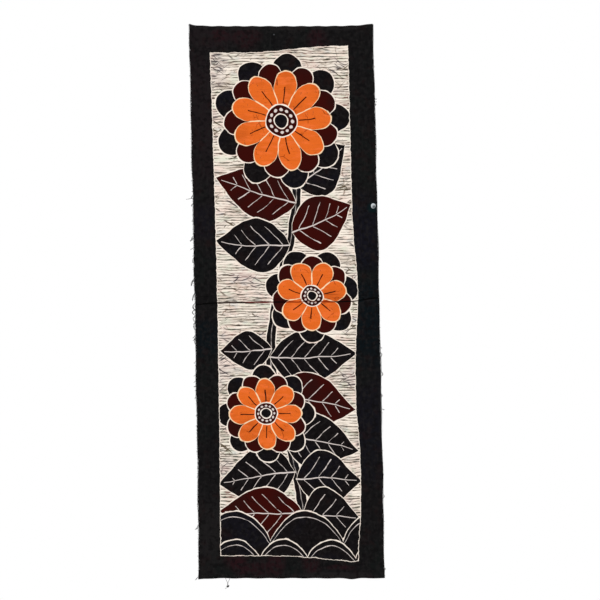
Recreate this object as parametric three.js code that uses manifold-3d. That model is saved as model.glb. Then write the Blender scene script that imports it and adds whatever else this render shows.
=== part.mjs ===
// A batik wall hanging: one tall panel of dyed cotton, hung by its top hem.
// Millimetres, +Z up. The back of the top hem lies in the plane y = 0, against the wall, and the
// front of the cloth faces -Y. The origin is the middle of the top edge, on that back plane.
// The panel has a narrow sewn hem above and below. Its sides are raw cut edges, which fray.
import * as THREE from "three";
import { mergeVertices } from "three/addons/utils/BufferGeometryUtils.js";
import Module from "manifold-3d";

const wasm = await Module();
wasm.setup();

// The cut of the panel. It is a little wider at the bottom, by the share FLARE.
const WIDTH = 304.5;
const DROP = 914;
const FLARE = 0.007;
const CLOTH_THICK = 1.2;
const HEM_THICK = 2.4;
const HEM_WIDTH = 7;
const HEM_STEP = 0.6;

// How it hangs: the sheet leans on the bias, and its sides bow a little.
const LEAN = 18.3;
const BOW = 1;

// The outline's uneven corners, hems and raw sides.
const KICK_LEFT = { rise: 3.8, reach: 13 };
const KICK_RIGHT = { rise: 4.3, reach: 23 };
const DIP_LEFT = { rise: -2, reach: 10 };
const BOTTOM_SAG = { rise: -1.3, centre: 99, reach: 9 };
const SPLAY_LEFT = { out: 2.3, reach: 30 };
const TOP_PUCKER = { rise: 0.35, pitch: 27, shift: 0 };
const BOTTOM_PUCKER = { rise: 0.35, pitch: 38, shift: 8 };
const CORNER_FADE = 5;
const WANDER = { out: 0.7, turns: 7.3, beat: 0.37, rightShift: 2 };

// The crease left by folding the panel in half, a soft trough seen from the front.
const FOLD = { left: 0.503, right: 0.492, depth: 2.6, reach: 17 };

// Soft waves between the hems, deeper towards the bottom, and the curl of the raw sides.
const TOP_FLAT = 55;
const WAVE = { depth: 1.5, across: 2.3, down: 1.7, slant: 0.6, twist: 2, steady: 0.6, atTop: 0.35 };
const CURL = { depth: 1.6, reach: 20, turns: 1.4, twist: 3 };

// The raw sides: a strip of loose warp along each, and the yarn ends and loops that stand out of it.
const STRIP_WIDTH = 3;
const GAP = 0.3;
const YARN = { radius: 0.32, sides: 3, root: 1, lift: 1.4, shortest: 0.35, reach: 0.75, endSteps: 5, loopSteps: 9 };
const DROOP = { least: 0.15, most: 0.9 };
const LOOP_SHAPE = [
  { along: 0.12, out: 0.7 },
  { along: 0.5, out: 1 },
  { along: 0.85, out: 0.6 },
];

// Short ends stand out all along a side. A tuft is a few longer ends close together, at a share of the drop.
const LEFT_FRAY = {
  seed: 5,
  short: { ends: 34, from: 0.05, to: 0.97, longest: 3 },
  tufts: [
    { at: 0.312, ends: 3, longest: 9.5 },
    { at: 0.388, ends: 3, longest: 5.5 },
    { at: 0.425, ends: 3, longest: 4 },
    { at: 0.462, ends: 5, longest: 6 },
    { at: 0.486, ends: 4, longest: 7 },
    { at: 0.566, ends: 4, longest: 5 },
    { at: 0.908, ends: 3, longest: 5 },
  ],
  loops: [
    { at: 0.503, drop: 13, out: 4.2 },
    { at: 0.517, drop: 12, out: 4.4 },
    { at: 0.531, drop: 18, out: 4.6 },
    { at: 0.549, drop: 14, out: 3.8 },
    { at: 0.574, drop: 11, out: 3.2 },
  ],
};
const RIGHT_FRAY = {
  seed: 11,
  short: { ends: 22, from: 0.03, to: 0.97, longest: 2.2 },
  tufts: [
    { at: 0.09, ends: 3, longest: 5 },
    { at: 0.668, ends: 2, longest: 4 },
    { at: 0.85, ends: 2, longest: 3 },
  ],
  loops: [{ at: 0.69, drop: 12, out: 2.4 }],
};
const TUFT_SPAN = 6;

// The loose sewing thread under the bottom hem: two legs that meet at a knot, and a tail that trails left.
const THREAD = { across: -105, spread: 7, legs: 12.5, knot: 1.4 };
const PINCH = { out: 1.1, along: 0.55 };
const TAIL_BEND = new THREE.Vector3(-1.9, -0.2, -2.3);
const TAIL_END = new THREE.Vector3(-4.4, -0.6, -3.3);

// The mesh of the sheet: even spacing takes these shares, and the rest crowds to the edges.
const COLUMNS = 24;
const ROWS_PER_HALF = 17;
const EVEN_COLUMNS = 0.45;
const EVEN_ROWS = 0.35;

const cottonBlack = new THREE.MeshStandardMaterial({ color: 0x1b1718, roughness: 0.95, metalness: 0 });
const yarnBlack = new THREE.MeshStandardMaterial({ color: 0x2a2627, roughness: 0.98, metalness: 0 });

// A repeatable stream of numbers from 0 to 1.
function stream(seed) {
  let state = seed * 7919 + 17;
  return () => {
    state = (state * 48271) % 2147483647;
    return state / 2147483647;
  };
}

function pucker(across, seam) {
  return seam.rise * Math.sin((2 * Math.PI * (across + seam.shift)) / seam.pitch);
}

// How high the top edge stands at a distance across from the middle.
function topEdge(across) {
  const fromLeft = across + WIDTH / 2;
  const fromRight = WIDTH / 2 - across;
  const left = KICK_LEFT.rise * Math.exp(-fromLeft / KICK_LEFT.reach);
  const right = KICK_RIGHT.rise * Math.exp(-fromRight / KICK_RIGHT.reach);
  return left + right + pucker(across, TOP_PUCKER);
}

// How far the bottom edge is off level.
function bottomEdge(across) {
  const dip = DIP_LEFT.rise * Math.exp(-(across + WIDTH / 2) / DIP_LEFT.reach);
  const sag = BOTTOM_SAG.rise * Math.exp(-(((across - BOTTOM_SAG.centre) / BOTTOM_SAG.reach) ** 2));
  return dip + sag + pucker(across, BOTTOM_PUCKER);
}

// The fold's place down the panel, as a share of the drop.
function foldAt(across) {
  return THREE.MathUtils.lerp(FOLD.left, FOLD.right, across / WIDTH + 0.5);
}

// How far the cloth stands forward of the wall plane.
function relief(across, down) {
  const s = across / WIDTH;
  const fromFold = (down - foldAt(across)) * DROP;
  const loose = THREE.MathUtils.smoothstep(down * DROP, HEM_WIDTH + HEM_STEP, TOP_FLAT);
  const trough = FOLD.depth * (1 - Math.exp(-Math.abs(fromFold) / FOLD.reach));
  const flutes = 0.5 + 0.5 * Math.sin(2 * Math.PI * (WAVE.across * s + WAVE.slant * down));
  const swell = Math.sin(2 * Math.PI * WAVE.down * down + WAVE.twist * s);
  const swells = THREE.MathUtils.lerp(swell, 1, WAVE.steady);
  const wave = WAVE.depth * flutes * swells * THREE.MathUtils.lerp(WAVE.atTop, 1, down);
  const side = WIDTH / 2 - Math.abs(across);
  const rolled = 0.5 + 0.5 * Math.sin(2 * Math.PI * CURL.turns * down + CURL.twist * s);
  const curl = CURL.depth * Math.exp(-side / CURL.reach) * rolled;
  return loose * (trough + wave + curl);
}

// How far the raw side wanders outwards. Only the outermost yarns move.
function wander(across, down) {
  const rim = THREE.MathUtils.smoothstep(Math.abs(across), WIDTH / 2 - STRIP_WIDTH, WIDTH / 2);
  const turn = 2 * Math.PI * WANDER.turns * down + (across > 0 ? WANDER.rightShift : 0);
  return Math.sign(across) * rim * WANDER.out * Math.sin(turn) * Math.sin(WANDER.beat * turn);
}

// A point of the sheet: across from the middle, down as a share of the drop, and its depth behind the front.
function place(across, down, behind) {
  const reach = SPLAY_LEFT.reach;
  const corner = Math.exp(-(across + WIDTH / 2) / reach - (DROP * (1 - down)) / reach);
  const cut = across * (1 + FLARE * down) + wander(across, down) - SPLAY_LEFT.out * corner;
  const x = cut + LEAN * down + BOW * 4 * down * (1 - down);
  const edges = topEdge(across) * (1 - down) ** CORNER_FADE + bottomEdge(across) * down ** CORNER_FADE;
  const y = -HEM_THICK - relief(across, down) + behind;
  return new THREE.Vector3(x, y, edges - DROP * down);
}

// Rows down the panel, as shares of the drop, closer together at the fold.
function rowShares() {
  const shares = [0, HEM_WIDTH / DROP, (HEM_WIDTH + HEM_STEP) / DROP];
  const start = shares[2];
  for (let i = 1; i <= ROWS_PER_HALF; i++) {
    const along = i / ROWS_PER_HALF;
    const eased = THREE.MathUtils.lerp(Math.sin((Math.PI / 2) * along), along, EVEN_ROWS);
    shares.push(start + (0.5 - start) * eased);
  }
  return [...shares, ...shares.slice(0, -1).reverse().map((share) => 1 - share)];
}

// A row's place at a distance across. The rows near the fold follow its slant.
function rowAt(share, across) {
  return share + (foldAt(across) - 0.5) * (1 - Math.abs(2 * share - 1));
}

// Columns between two edges, closer together at both.
function columnPlaces(from, to, count) {
  const places = [];
  for (let i = 0; i <= count; i++) {
    const along = i / count;
    const eased = THREE.MathUtils.lerp(0.5 - 0.5 * Math.cos(Math.PI * along), along, EVEN_COLUMNS);
    places.push(THREE.MathUtils.lerp(from, to, eased));
  }
  return places;
}

function isHem(row, rows) {
  return row <= 1 || row >= rows - 2;
}

// A closed sheet between two distances across, with the folded hems thicker at its back.
function sheetGeometry(from, to, count) {
  const columns = columnPlaces(from, to, count);
  const shares = rowShares();
  const points = [];
  for (const face of ["front", "back"])
    shares.forEach((share, row) => {
      const thick = isHem(row, shares.length) ? HEM_THICK : CLOTH_THICK;
      for (const across of columns)
        points.push(place(across, rowAt(share, across), face === "front" ? 0 : thick));
    });
  const wide = columns.length;
  const back = wide * shares.length;
  const triangles = [];
  const quad = (a, b, c, d) => triangles.push(a, b, c, a, c, d);
  for (let row = 0; row + 1 < shares.length; row++)
    for (let column = 0; column + 1 < wide; column++) {
      const a = row * wide + column;
      quad(a, a + wide, a + wide + 1, a + 1);
      quad(back + a, back + a + 1, back + a + wide + 1, back + a + wide);
    }
  for (let row = 0; row + 1 < shares.length; row++) {
    const left = row * wide;
    const right = left + wide - 1;
    quad(left, back + left, back + left + wide, left + wide);
    quad(right, right + wide, back + right + wide, back + right);
  }
  const last = (shares.length - 1) * wide;
  for (let column = 0; column + 1 < wide; column++) {
    quad(column, column + 1, back + column + 1, back + column);
    quad(last + column, back + last + column, back + last + column + 1, last + column + 1);
  }
  const geometry = new THREE.BufferGeometry().setFromPoints(points);
  geometry.setIndex(triangles);
  return geometry;
}

// A yarn of few sides along points, closed at both ends.
function yarnGeometry(points, steps) {
  const curve = new THREE.CatmullRomCurve3(points);
  const section = new THREE.Shape();
  for (let i = 0; i < YARN.sides; i++) {
    const angle = (2 * Math.PI * i) / YARN.sides;
    const corner = [YARN.radius * Math.cos(angle), YARN.radius * Math.sin(angle)];
    if (i === 0) section.moveTo(...corner);
    else section.lineTo(...corner);
  }
  section.closePath();
  return new THREE.ExtrudeGeometry(section, { extrudePath: curve, steps, bevelEnabled: false });
}

// A solid to join, from a geometry's bare corners.
function solidFrom(geometry) {
  const bare = geometry.clone();
  bare.deleteAttribute("normal");
  bare.deleteAttribute("uv");
  const merged = mergeVertices(bare, 1e-4);
  const mesh = new wasm.Mesh({
    numProp: 3,
    vertProperties: new Float32Array(merged.attributes.position.array),
    triVerts: new Uint32Array(merged.index.array),
  });
  return new wasm.Manifold(mesh);
}

function geometryFrom(solid) {
  const mesh = solid.getMesh();
  const geometry = new THREE.BufferGeometry();
  geometry.setAttribute("position", new THREE.BufferAttribute(mesh.vertProperties, 3));
  geometry.setIndex(new THREE.BufferAttribute(mesh.triVerts, 1));
  return geometry;
}

// A yarn end that leaves the raw side, droops and trails.
function frayEnd(outward, down, random, longest) {
  const edge = (outward * WIDTH) / 2;
  const long = longest * THREE.MathUtils.lerp(YARN.shortest, 1, random());
  const droop = long * THREE.MathUtils.lerp(DROOP.least, DROOP.most, random());
  const lift = (random() - 0.5) * YARN.lift;
  const root = place(edge - outward * YARN.root, down, CLOTH_THICK / 2);
  const lip = place(edge, down, CLOTH_THICK / 2);
  const middle = lip.clone().add(new THREE.Vector3(outward * long * 0.5, -lift, -droop * 0.3));
  const tip = lip.clone().add(new THREE.Vector3(outward * long * YARN.reach, -lift * 1.6, -droop));
  return yarnGeometry([root, lip, middle, tip], YARN.endSteps);
}

// A yarn that has sprung out of the raw side and goes back into it lower down.
function frayLoop(outward, loop) {
  const edge = (outward * WIDTH) / 2;
  const point = (along, reach) => {
    const lip = place(edge, loop.at + (loop.drop / DROP) * along, CLOTH_THICK / 2);
    return lip.add(new THREE.Vector3(outward * reach, 0, 0));
  };
  const swing = LOOP_SHAPE.map((bend) => point(bend.along, bend.out * loop.out));
  return yarnGeometry([point(0, -YARN.root), ...swing, point(1, -YARN.root)], YARN.loopSteps);
}

// A raw side: its strip of loose warp, with every yarn that stands out of it rooted in the strip.
function frayedSide(outward, fray) {
  const edge = (outward * WIDTH) / 2;
  const inner = edge - outward * STRIP_WIDTH;
  const random = stream(fray.seed);
  const yarns = fray.loops.map((loop) => frayLoop(outward, loop));
  const span = (fray.short.to - fray.short.from) / fray.short.ends;
  for (let i = 0; i < fray.short.ends; i++) {
    const down = fray.short.from + span * (i + 0.9 * random());
    yarns.push(frayEnd(outward, down, random, fray.short.longest));
  }
  for (const tuft of fray.tufts)
    for (let i = 0; i < tuft.ends; i++) {
      const down = tuft.at + ((i + 0.6 * random()) * TUFT_SPAN) / tuft.ends / DROP;
      yarns.push(frayEnd(outward, down, random, tuft.longest));
    }
  const strip = solidFrom(sheetGeometry(Math.min(edge, inner), Math.max(edge, inner), 1));
  return geometryFrom(yarns.reduce((whole, yarn) => whole.add(solidFrom(yarn)), strip));
}

// The loose end of the sewing thread: two legs from the hem, knotted together, and a short tail.
function looseThread() {
  const hemBottom = place(THREAD.across, 1, HEM_THICK / 2);
  const top = hemBottom.z - GAP;
  const knotAt = new THREE.Vector3(hemBottom.x, hemBottom.y, top - THREAD.legs);
  const legs = [-1, 1].map((side) => {
    const start = new THREE.Vector3(knotAt.x + (side * THREAD.spread) / 2, knotAt.y, top - YARN.radius);
    const bend = new THREE.Vector3(knotAt.x + side * PINCH.out, knotAt.y, top - THREAD.legs * PINCH.along);
    return yarnGeometry([start, bend, knotAt.clone()], YARN.endSteps);
  });
  const tailPoints = [knotAt.clone(), knotAt.clone().add(TAIL_BEND), knotAt.clone().add(TAIL_END)];
  const tail = yarnGeometry(tailPoints, YARN.endSteps);
  const knot = new THREE.IcosahedronGeometry(THREAD.knot, 1);
  knot.translate(knotAt.x, knotAt.y, knotAt.z);
  return geometryFrom([...legs, tail].reduce((whole, yarn) => whole.add(solidFrom(yarn)), solidFrom(knot)));
}

function node(name, geometry, material) {
  const mesh = new THREE.Mesh(geometry, material);
  mesh.name = name;
  return mesh;
}

const clothEdge = WIDTH / 2 - STRIP_WIDTH - GAP;
const hanging = new THREE.Group();
hanging.add(node("cloth_panel", sheetGeometry(-clothEdge, clothEdge, COLUMNS), cottonBlack));
hanging.add(node("frayed_side_left", frayedSide(-1, LEFT_FRAY), yarnBlack));
hanging.add(node("frayed_side_right", frayedSide(1, RIGHT_FRAY), yarnBlack));
hanging.add(node("loose_hem_thread", looseThread(), yarnBlack));

export default hanging;
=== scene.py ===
"""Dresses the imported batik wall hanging: its cloth, raw sides, hem stitches and loose thread.

The cloth's own measures are in millimetres and are turned to metres when a mesh is made. The flat
cloth has two coordinates: across, from its middle to the right, and down, from its top edge.
"""

from __future__ import annotations

import logging
import math
from dataclasses import dataclass, field
from enum import Enum
from typing import Any, Sequence, Union
import bmesh
import bpy
import numpy as np
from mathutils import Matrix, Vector


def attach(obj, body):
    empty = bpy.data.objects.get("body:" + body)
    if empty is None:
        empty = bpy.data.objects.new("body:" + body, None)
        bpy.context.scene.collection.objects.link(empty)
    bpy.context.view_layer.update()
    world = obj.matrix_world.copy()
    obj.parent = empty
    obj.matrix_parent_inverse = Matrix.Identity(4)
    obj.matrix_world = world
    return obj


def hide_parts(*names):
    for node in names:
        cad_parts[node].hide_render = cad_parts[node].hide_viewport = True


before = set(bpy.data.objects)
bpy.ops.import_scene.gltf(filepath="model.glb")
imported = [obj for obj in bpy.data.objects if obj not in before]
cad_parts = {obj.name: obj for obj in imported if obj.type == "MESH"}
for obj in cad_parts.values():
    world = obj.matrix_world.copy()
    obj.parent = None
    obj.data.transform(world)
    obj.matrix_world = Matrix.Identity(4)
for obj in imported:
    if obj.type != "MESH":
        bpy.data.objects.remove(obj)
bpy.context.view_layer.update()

LOG = logging.getLogger("wall_hanging")
MM = 0.001
BODY = "root"
TURN = 2 * math.pi


class Slot(Enum):
    """The record's material slots."""

    CLOTH = "batik_cotton"
    YARN = "frayed_yarn"
    THREAD = "hem_thread"


class Side(Enum):
    """The two raw sides of the panel, each with its way outwards along X."""

    LEFT = -1
    RIGHT = 1


# Shader and geometry nodes


class Value:
    """A socket that varies over a surface. Arithmetic on it adds Math nodes."""

    def __init__(self, maker: Shading, socket: bpy.types.NodeSocket) -> None:
        """Wraps one output socket of a material's nodes.

        Args:
            maker: The nodes that the socket belongs to.
            socket: The output socket.
        """
        self.maker = maker
        self.socket = socket

    def __add__(self, other: Number) -> Value:
        """Adds."""
        return self.maker.math("ADD", self, other)

    def __radd__(self, other: Number) -> Value:
        """Adds, with the plain number first."""
        return self.maker.math("ADD", other, self)

    def __sub__(self, other: Number) -> Value:
        """Takes away."""
        return self.maker.math("SUBTRACT", self, other)

    def __rsub__(self, other: Number) -> Value:
        """Takes this value from a plain number."""
        return self.maker.math("SUBTRACT", other, self)

    def __mul__(self, other: Number) -> Value:
        """Multiplies."""
        return self.maker.math("MULTIPLY", self, other)

    def __rmul__(self, other: Number) -> Value:
        """Multiplies, with the plain number first."""
        return self.maker.math("MULTIPLY", other, self)

    def __pow__(self, other: Number) -> Value:
        """Raises to a power."""
        return self.maker.math("POWER", self, other)

    def __abs__(self) -> Value:
        """Drops the sign."""
        return self.maker.math("ABSOLUTE", self)


Number = Union[float, Value]
Tint = tuple[float, float, float, float]
Colour = Union[Tint, Value]


class NodeMaker:
    """Adds nodes to one node tree."""

    def __init__(self, tree: bpy.types.NodeTree) -> None:
        """Keeps the tree.

        Args:
            tree: The node tree to add to.
        """
        self.tree = tree

    def add(self, kind: str, settings: dict[str, Any], sockets: dict[Any, Any]) -> bpy.types.Node:
        """Adds one node.

        Args:
            kind: The node's type name.
            settings: The node's own settings, set before its sockets.
            sockets: Values or links, by the socket's name or number.

        Returns:
            The node.
        """
        node = self.tree.nodes.new(kind)
        for name, value in settings.items():
            setattr(node, name, value)
        for key, value in sockets.items():
            if isinstance(value, Value):
                self.tree.links.new(value.socket, node.inputs[key])
            elif isinstance(value, bpy.types.NodeSocket):
                self.tree.links.new(value, node.inputs[key])
            else:
                node.inputs[key].default_value = value
        return node


class Shading(NodeMaker):
    """Writes a material's nodes as expressions."""

    MIX_FACTOR = 0
    MIX_FIRST = 6
    MIX_SECOND = 7
    MIX_RESULT = 2
    CLOUD_SHIFT = (7.31, -3.77, 1.93)
    STREAK_SHIFT = (5.17, 9.41, 2.29)

    def __init__(self, name: str) -> None:
        """Makes a material with a bare Principled shader.

        Args:
            name: The material's name.
        """
        self.material = bpy.data.materials.new(name)
        self.material.use_nodes = True
        super().__init__(self.material.node_tree)
        self.tree.nodes.clear()
        self.shader = self.tree.nodes.new("ShaderNodeBsdfPrincipled")
        out = self.tree.nodes.new("ShaderNodeOutputMaterial")
        self.tree.links.new(self.shader.outputs["BSDF"], out.inputs["Surface"])

    def value(self, kind: str, settings: dict[str, Any], sockets: dict[Any, Any], out: Any = 0) -> Value:
        """Adds one node and gives one of its outputs.

        Args:
            kind: The node's type name.
            settings: The node's own settings.
            sockets: Values or links, by the socket's name or number.
            out: The output's name or number.

        Returns:
            The output.
        """
        return Value(self, self.add(kind, settings, sockets).outputs[out])

    def math(self, operation: str, *terms: Number) -> Value:
        """Adds a Math node.

        Args:
            operation: The node's operation.
            terms: Its one or two terms.

        Returns:
            The result.
        """
        return self.value("ShaderNodeMath", {"operation": operation}, dict(enumerate(terms)))

    def vector(self, operation: str, *terms: Any, out: str = "Vector") -> Value:
        """Adds a Vector Math node.

        Args:
            operation: The node's operation.
            terms: Its vectors.
            out: The output's name.

        Returns:
            The result.
        """
        return self.value("ShaderNodeVectorMath", {"operation": operation}, dict(enumerate(terms)), out)

    def length(self, place: Value) -> Value:
        """How far a place is from the origin."""
        return self.vector("LENGTH", place, out="Value")

    def along(self, place: Value, way: Sequence[float]) -> Value:
        """How far a place is along a direction."""
        return self.vector("DOT_PRODUCT", place, way, out="Value")

    def most(self, first: Number, second: Number) -> Value:
        """The larger of two values."""
        return self.math("MAXIMUM", first, second)

    def least(self, first: Number, second: Number) -> Value:
        """The smaller of two values."""
        return self.math("MINIMUM", first, second)

    def split(self, place: Any) -> tuple[Value, Value]:
        """Parts a place into its first two coordinates."""
        parts = self.add("ShaderNodeSeparateXYZ", {}, {0: place}).outputs
        return Value(self, parts[0]), Value(self, parts[1])

    def point(self, across: Number, down: Number) -> Value:
        """Joins two coordinates into a place."""
        return self.value("ShaderNodeCombineXYZ", {}, {0: across, 1: down})

    def mix(self, share: Number, first: Colour, second: Colour, blend: str = "MIX") -> Value:
        """Mixes two colours.

        Args:
            share: How much of the second colour.
            first: The colour at share 0.
            second: The colour at share 1.
            blend: How the second colour is laid on the first.

        Returns:
            The mixed colour.
        """
        settings = {"data_type": "RGBA", "blend_type": blend}
        sockets = {self.MIX_FACTOR: share, self.MIX_FIRST: first, self.MIX_SECOND: second}
        return self.value("ShaderNodeMix", settings, sockets, self.MIX_RESULT)

    def ramp(self, value: Number, low: Number, high: Number) -> Value:
        """A smooth step from 0 at low to 1 at high, or down again if high is the lower one."""
        sockets = {"Value": value, "From Min": low, "From Max": high}
        return self.value("ShaderNodeMapRange", {"interpolation_type": "SMOOTHSTEP"}, sockets)

    def inside(self, distance: Number, soft: float) -> Value:
        """1 where a distance is below zero and 0 where it is above, with an edge of a given softness."""
        return self.ramp(distance, soft, -soft)

    def finish(self, colour: Value, bump: dict[str, Any], numbers: dict[str, float]) -> None:
        """Feeds the shader.

        Args:
            colour: The base colour.
            bump: The Bump node's strength, distance and height.
            numbers: Plain numbers for the shader's own sockets, by name.
        """
        normal = self.value("ShaderNodeBump", {}, bump)
        self.tree.links.new(colour.socket, self.shader.inputs["Base Color"])
        self.tree.links.new(normal.socket, self.shader.inputs["Normal"])
        for name, number in numbers.items():
            self.shader.inputs[name].default_value = number

    def noise(self, place: Value, size: float, seed: float, detail: float = 1.0) -> Value:
        """Cloudy noise from 0 to 1.

        Args:
            place: The point to read it at, in millimetres.
            size: The size of its lumps, in millimetres.
            seed: Moves the reading to another part of the noise.
            detail: How many finer octaves it holds.

        Returns:
            The noise.
        """
        shift = tuple(seed * part for part in self.CLOUD_SHIFT)
        moved = self.vector("MULTIPLY_ADD", place, (1.0 / size, 1.0 / size, 0.0), shift)
        return self.value("ShaderNodeTexNoise", {}, {"Vector": moved, "Scale": 1.0, "Detail": detail})

    def streaks(self, place: Value, across: float, down: float, seed: float, detail: float = 1.0) -> Value:
        """Noise from 0 to 1 whose lumps are longer one way than the other.

        Args:
            place: The point to read it at, in millimetres.
            across: The lumps' width, in millimetres.
            down: Their height, in millimetres.
            seed: Moves the reading to another part of the noise.
            detail: How many finer octaves it holds.

        Returns:
            The noise.
        """
        shift = tuple(seed * part for part in self.STREAK_SHIFT)
        moved = self.vector("MULTIPLY_ADD", place, (1.0 / across, 1.0 / down, 0.0), shift)
        return self.value("ShaderNodeTexNoise", {}, {"Vector": moved, "Scale": 1.0, "Detail": detail})

    def wobble(self, place: Value, size: float) -> Value:
        """Slow noise with three parts, which moves a place this way and that."""
        scaled = self.vector("MULTIPLY", place, (1.0 / size, 1.0 / size, 0.0))
        return self.value("ShaderNodeTexNoise", {}, {"Vector": scaled, "Scale": 1.0, "Detail": 2.0}, "Color")

    def patches(self, kind: Patches, place: Value) -> Value:
        """How strong soft patches are at a place, from 0 to their full strength."""
        mask = self.ramp(kind.noise(self, place), kind.start, kind.full)
        return mask if kind.strength == 1.0 else mask * kind.strength


class Making(NodeMaker):
    """Writes a Geometry Nodes tree and applies it to a wire mesh."""

    def __init__(self, name: str) -> None:
        """Starts a tree with one mesh input and one mesh output.

        Args:
            name: The tree's name.
        """
        super().__init__(bpy.data.node_groups.new(name, "GeometryNodeTree"))
        self.keys: dict[str, str] = {}
        self.tree.interface.new_socket("Wire", in_out="INPUT", socket_type="NodeSocketGeometry")
        self.tree.interface.new_socket("Made", in_out="OUTPUT", socket_type="NodeSocketGeometry")
        self.entry = self.tree.nodes.new("NodeGroupInput")
        self.exit = self.tree.nodes.new("NodeGroupOutput")
        self.wire = self.make("GeometryNodeMeshToCurve", {"Mesh": self.entry.outputs["Wire"]})

    def ask(self, name: str, kind: str) -> bpy.types.NodeSocket:
        """Adds a named input to the tree.

        Args:
            name: The input's name.
            kind: Float, Int or Material.

        Returns:
            The socket to link from.
        """
        socket = self.tree.interface.new_socket(name, in_out="INPUT", socket_type=f"NodeSocket{kind}")
        self.keys[name] = socket.identifier
        return self.entry.outputs[name]

    def make(self, kind: str, sockets: dict[Any, Any], **settings: Any) -> bpy.types.NodeSocket:
        """Adds one node and gives its first output.

        Args:
            kind: The node's type name.
            sockets: Values or links, by the socket's name or number.
            settings: The node's own settings.

        Returns:
            The output.
        """
        return self.add(kind, settings, sockets).outputs[0]

    def tube(self, curve: bpy.types.NodeSocket, sides: Any, radius: Any) -> bpy.types.NodeSocket:
        """Sweeps a ring along a curve, with both ends closed.

        Args:
            curve: The curve.
            sides: The ring's sides.
            radius: The ring's radius, in metres.

        Returns:
            The tube.
        """
        ring = self.make("GeometryNodeCurvePrimitiveCircle", {"Resolution": sides, "Radius": radius})
        sweep = {"Curve": curve, "Profile Curve": ring, "Fill Caps": True}
        return self.make("GeometryNodeCurveToMesh", sweep)

    def repeat(self, spacing: Any, item: Any, turn: Any, size: Any) -> bpy.types.NodeSocket:
        """Sets an item at even steps along the wire.

        Args:
            spacing: How far apart.
            item: The shape that is repeated.
            turn: How each is turned.
            size: How each is scaled.

        Returns:
            The instances.
        """
        steps = self.make("GeometryNodeResampleCurve", {"Curve": self.wire, "Length": spacing}, mode="LENGTH")
        sockets = {"Points": steps, "Instance": item, "Rotation": turn, "Scale": size}
        return self.make("GeometryNodeInstanceOnPoints", sockets)

    def end(self, made: bpy.types.NodeSocket) -> Making:
        """Realizes the instances, sets the material and ends the tree.

        Args:
            made: The finished shape.

        Returns:
            The tree.
        """
        material = self.ask("Material", "Material")
        real = self.make("GeometryNodeRealizeInstances", {"Geometry": made})
        smooth = self.make("GeometryNodeSetShadeSmooth", {"Geometry": real})
        done = self.make("GeometryNodeSetMaterial", {"Geometry": smooth, "Material": material})
        self.tree.links.new(done, self.exit.inputs[0])
        return self

    def apply(self, name: str, wire: bpy.types.Mesh, values: dict[str, Any]) -> bpy.types.Mesh:
        """Runs the tree on a wire and keeps the result as a plain mesh.

        Args:
            name: The new mesh's name.
            wire: Edges that the tree follows.
            values: The tree's inputs, by name.

        Returns:
            The mesh.
        """
        carrier = bpy.data.objects.new(name + "_wire", wire)
        bpy.context.scene.collection.objects.link(carrier)
        modifier = carrier.modifiers.new("Making", "NODES")
        modifier.node_group = self.tree
        for key, value in values.items():
            modifier[self.keys[key]] = value
        seen = carrier.evaluated_get(bpy.context.evaluated_depsgraph_get())
        mesh = bpy.data.meshes.new_from_object(seen)
        mesh.name = name
        bpy.data.objects.remove(carrier)
        return mesh


def yarn_making() -> Making:
    """A tree that turns each run of edges into a round yarn, thinner towards its end.

    Returns:
        The tree, with the inputs Radius, Sides, Tip and Material.
    """
    taper_from = 0.35
    making = Making("Yarns")
    radius = making.ask("Radius", "Float")
    sides = making.ask("Sides", "Int")
    tip = making.ask("Tip", "Float")
    along = making.add("GeometryNodeSplineParameter", {}, {}).outputs["Factor"]
    taper = {"Value": along, "From Min": taper_from, "To Min": 1.0, "To Max": tip}
    thin = making.make("ShaderNodeMapRange", taper)
    sized = making.make("GeometryNodeSetCurveRadius", {"Curve": making.wire, "Radius": thin})
    return making.end(making.tube(sized, sides, radius))


def repeat_making() -> Making:
    """A tree that sets a short bent yarn end at even steps along a wire, each turned a little.

    Returns:
        The tree, with the inputs Spacing, Length, Droop, Radius, Seed and Material.
    """
    bend_at = 0.6
    least_turn = (-0.6, -0.55, -0.5)
    most_turn = (0.6, 0.75, 0.5)
    least_size = 0.35
    most_size = 1.6
    making = Making("Yarn ends")
    spacing = making.ask("Spacing", "Float")
    length = making.ask("Length", "Float")
    droop = making.ask("Droop", "Float")
    radius = making.ask("Radius", "Float")
    seed = making.ask("Seed", "Int")
    level = making.make("ShaderNodeCombineXYZ", {"X": length})
    tip = making.make("ShaderNodeCombineXYZ", {"X": length, "Z": droop})
    half = making.make("ShaderNodeVectorMath", {0: level, "Scale": bend_at}, operation="SCALE")
    stub = making.make(
        "GeometryNodeCurveQuadraticBezier",
        {"Resolution": 3, "Start": (0.0, 0.0, 0.0), "Middle": half, "End": tip},
    )
    ranges = {"Min": least_turn, "Max": most_turn, "Seed": seed}
    turn = making.make("FunctionNodeRandomValue", ranges, data_type="FLOAT_VECTOR")
    sizes = {2: least_size, 3: most_size, "Seed": seed}
    size = making.add("FunctionNodeRandomValue", {"data_type": "FLOAT"}, sizes).outputs[1]
    return making.end(making.repeat(spacing, making.tube(stub, 3, radius), turn, size))


def stitch_making() -> Making:
    """A tree that lays one stitch after another along a wire.

    Returns:
        The tree, with the inputs Pitch, Length, Radius and Material.
    """
    making = Making("Stitches")
    pitch = making.ask("Pitch", "Float")
    length = making.ask("Length", "Float")
    radius = making.ask("Radius", "Float")
    way = making.make("GeometryNodeInputTangent", {})
    turn = making.make("FunctionNodeAlignRotationToVector", {"Vector": way}, axis="X")
    ball = making.make("GeometryNodeMeshUVSphere", {"Segments": 6, "Rings": 5, "Radius": 0.5})
    wide = making.make("ShaderNodeMath", {0: radius, 1: 2.0}, operation="MULTIPLY")
    size = making.make("ShaderNodeCombineXYZ", {"X": length, "Y": wide, "Z": wide})
    return making.end(making.repeat(pitch, ball, turn, size))


# How the panel is cut and hangs, as its solids have it


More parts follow.
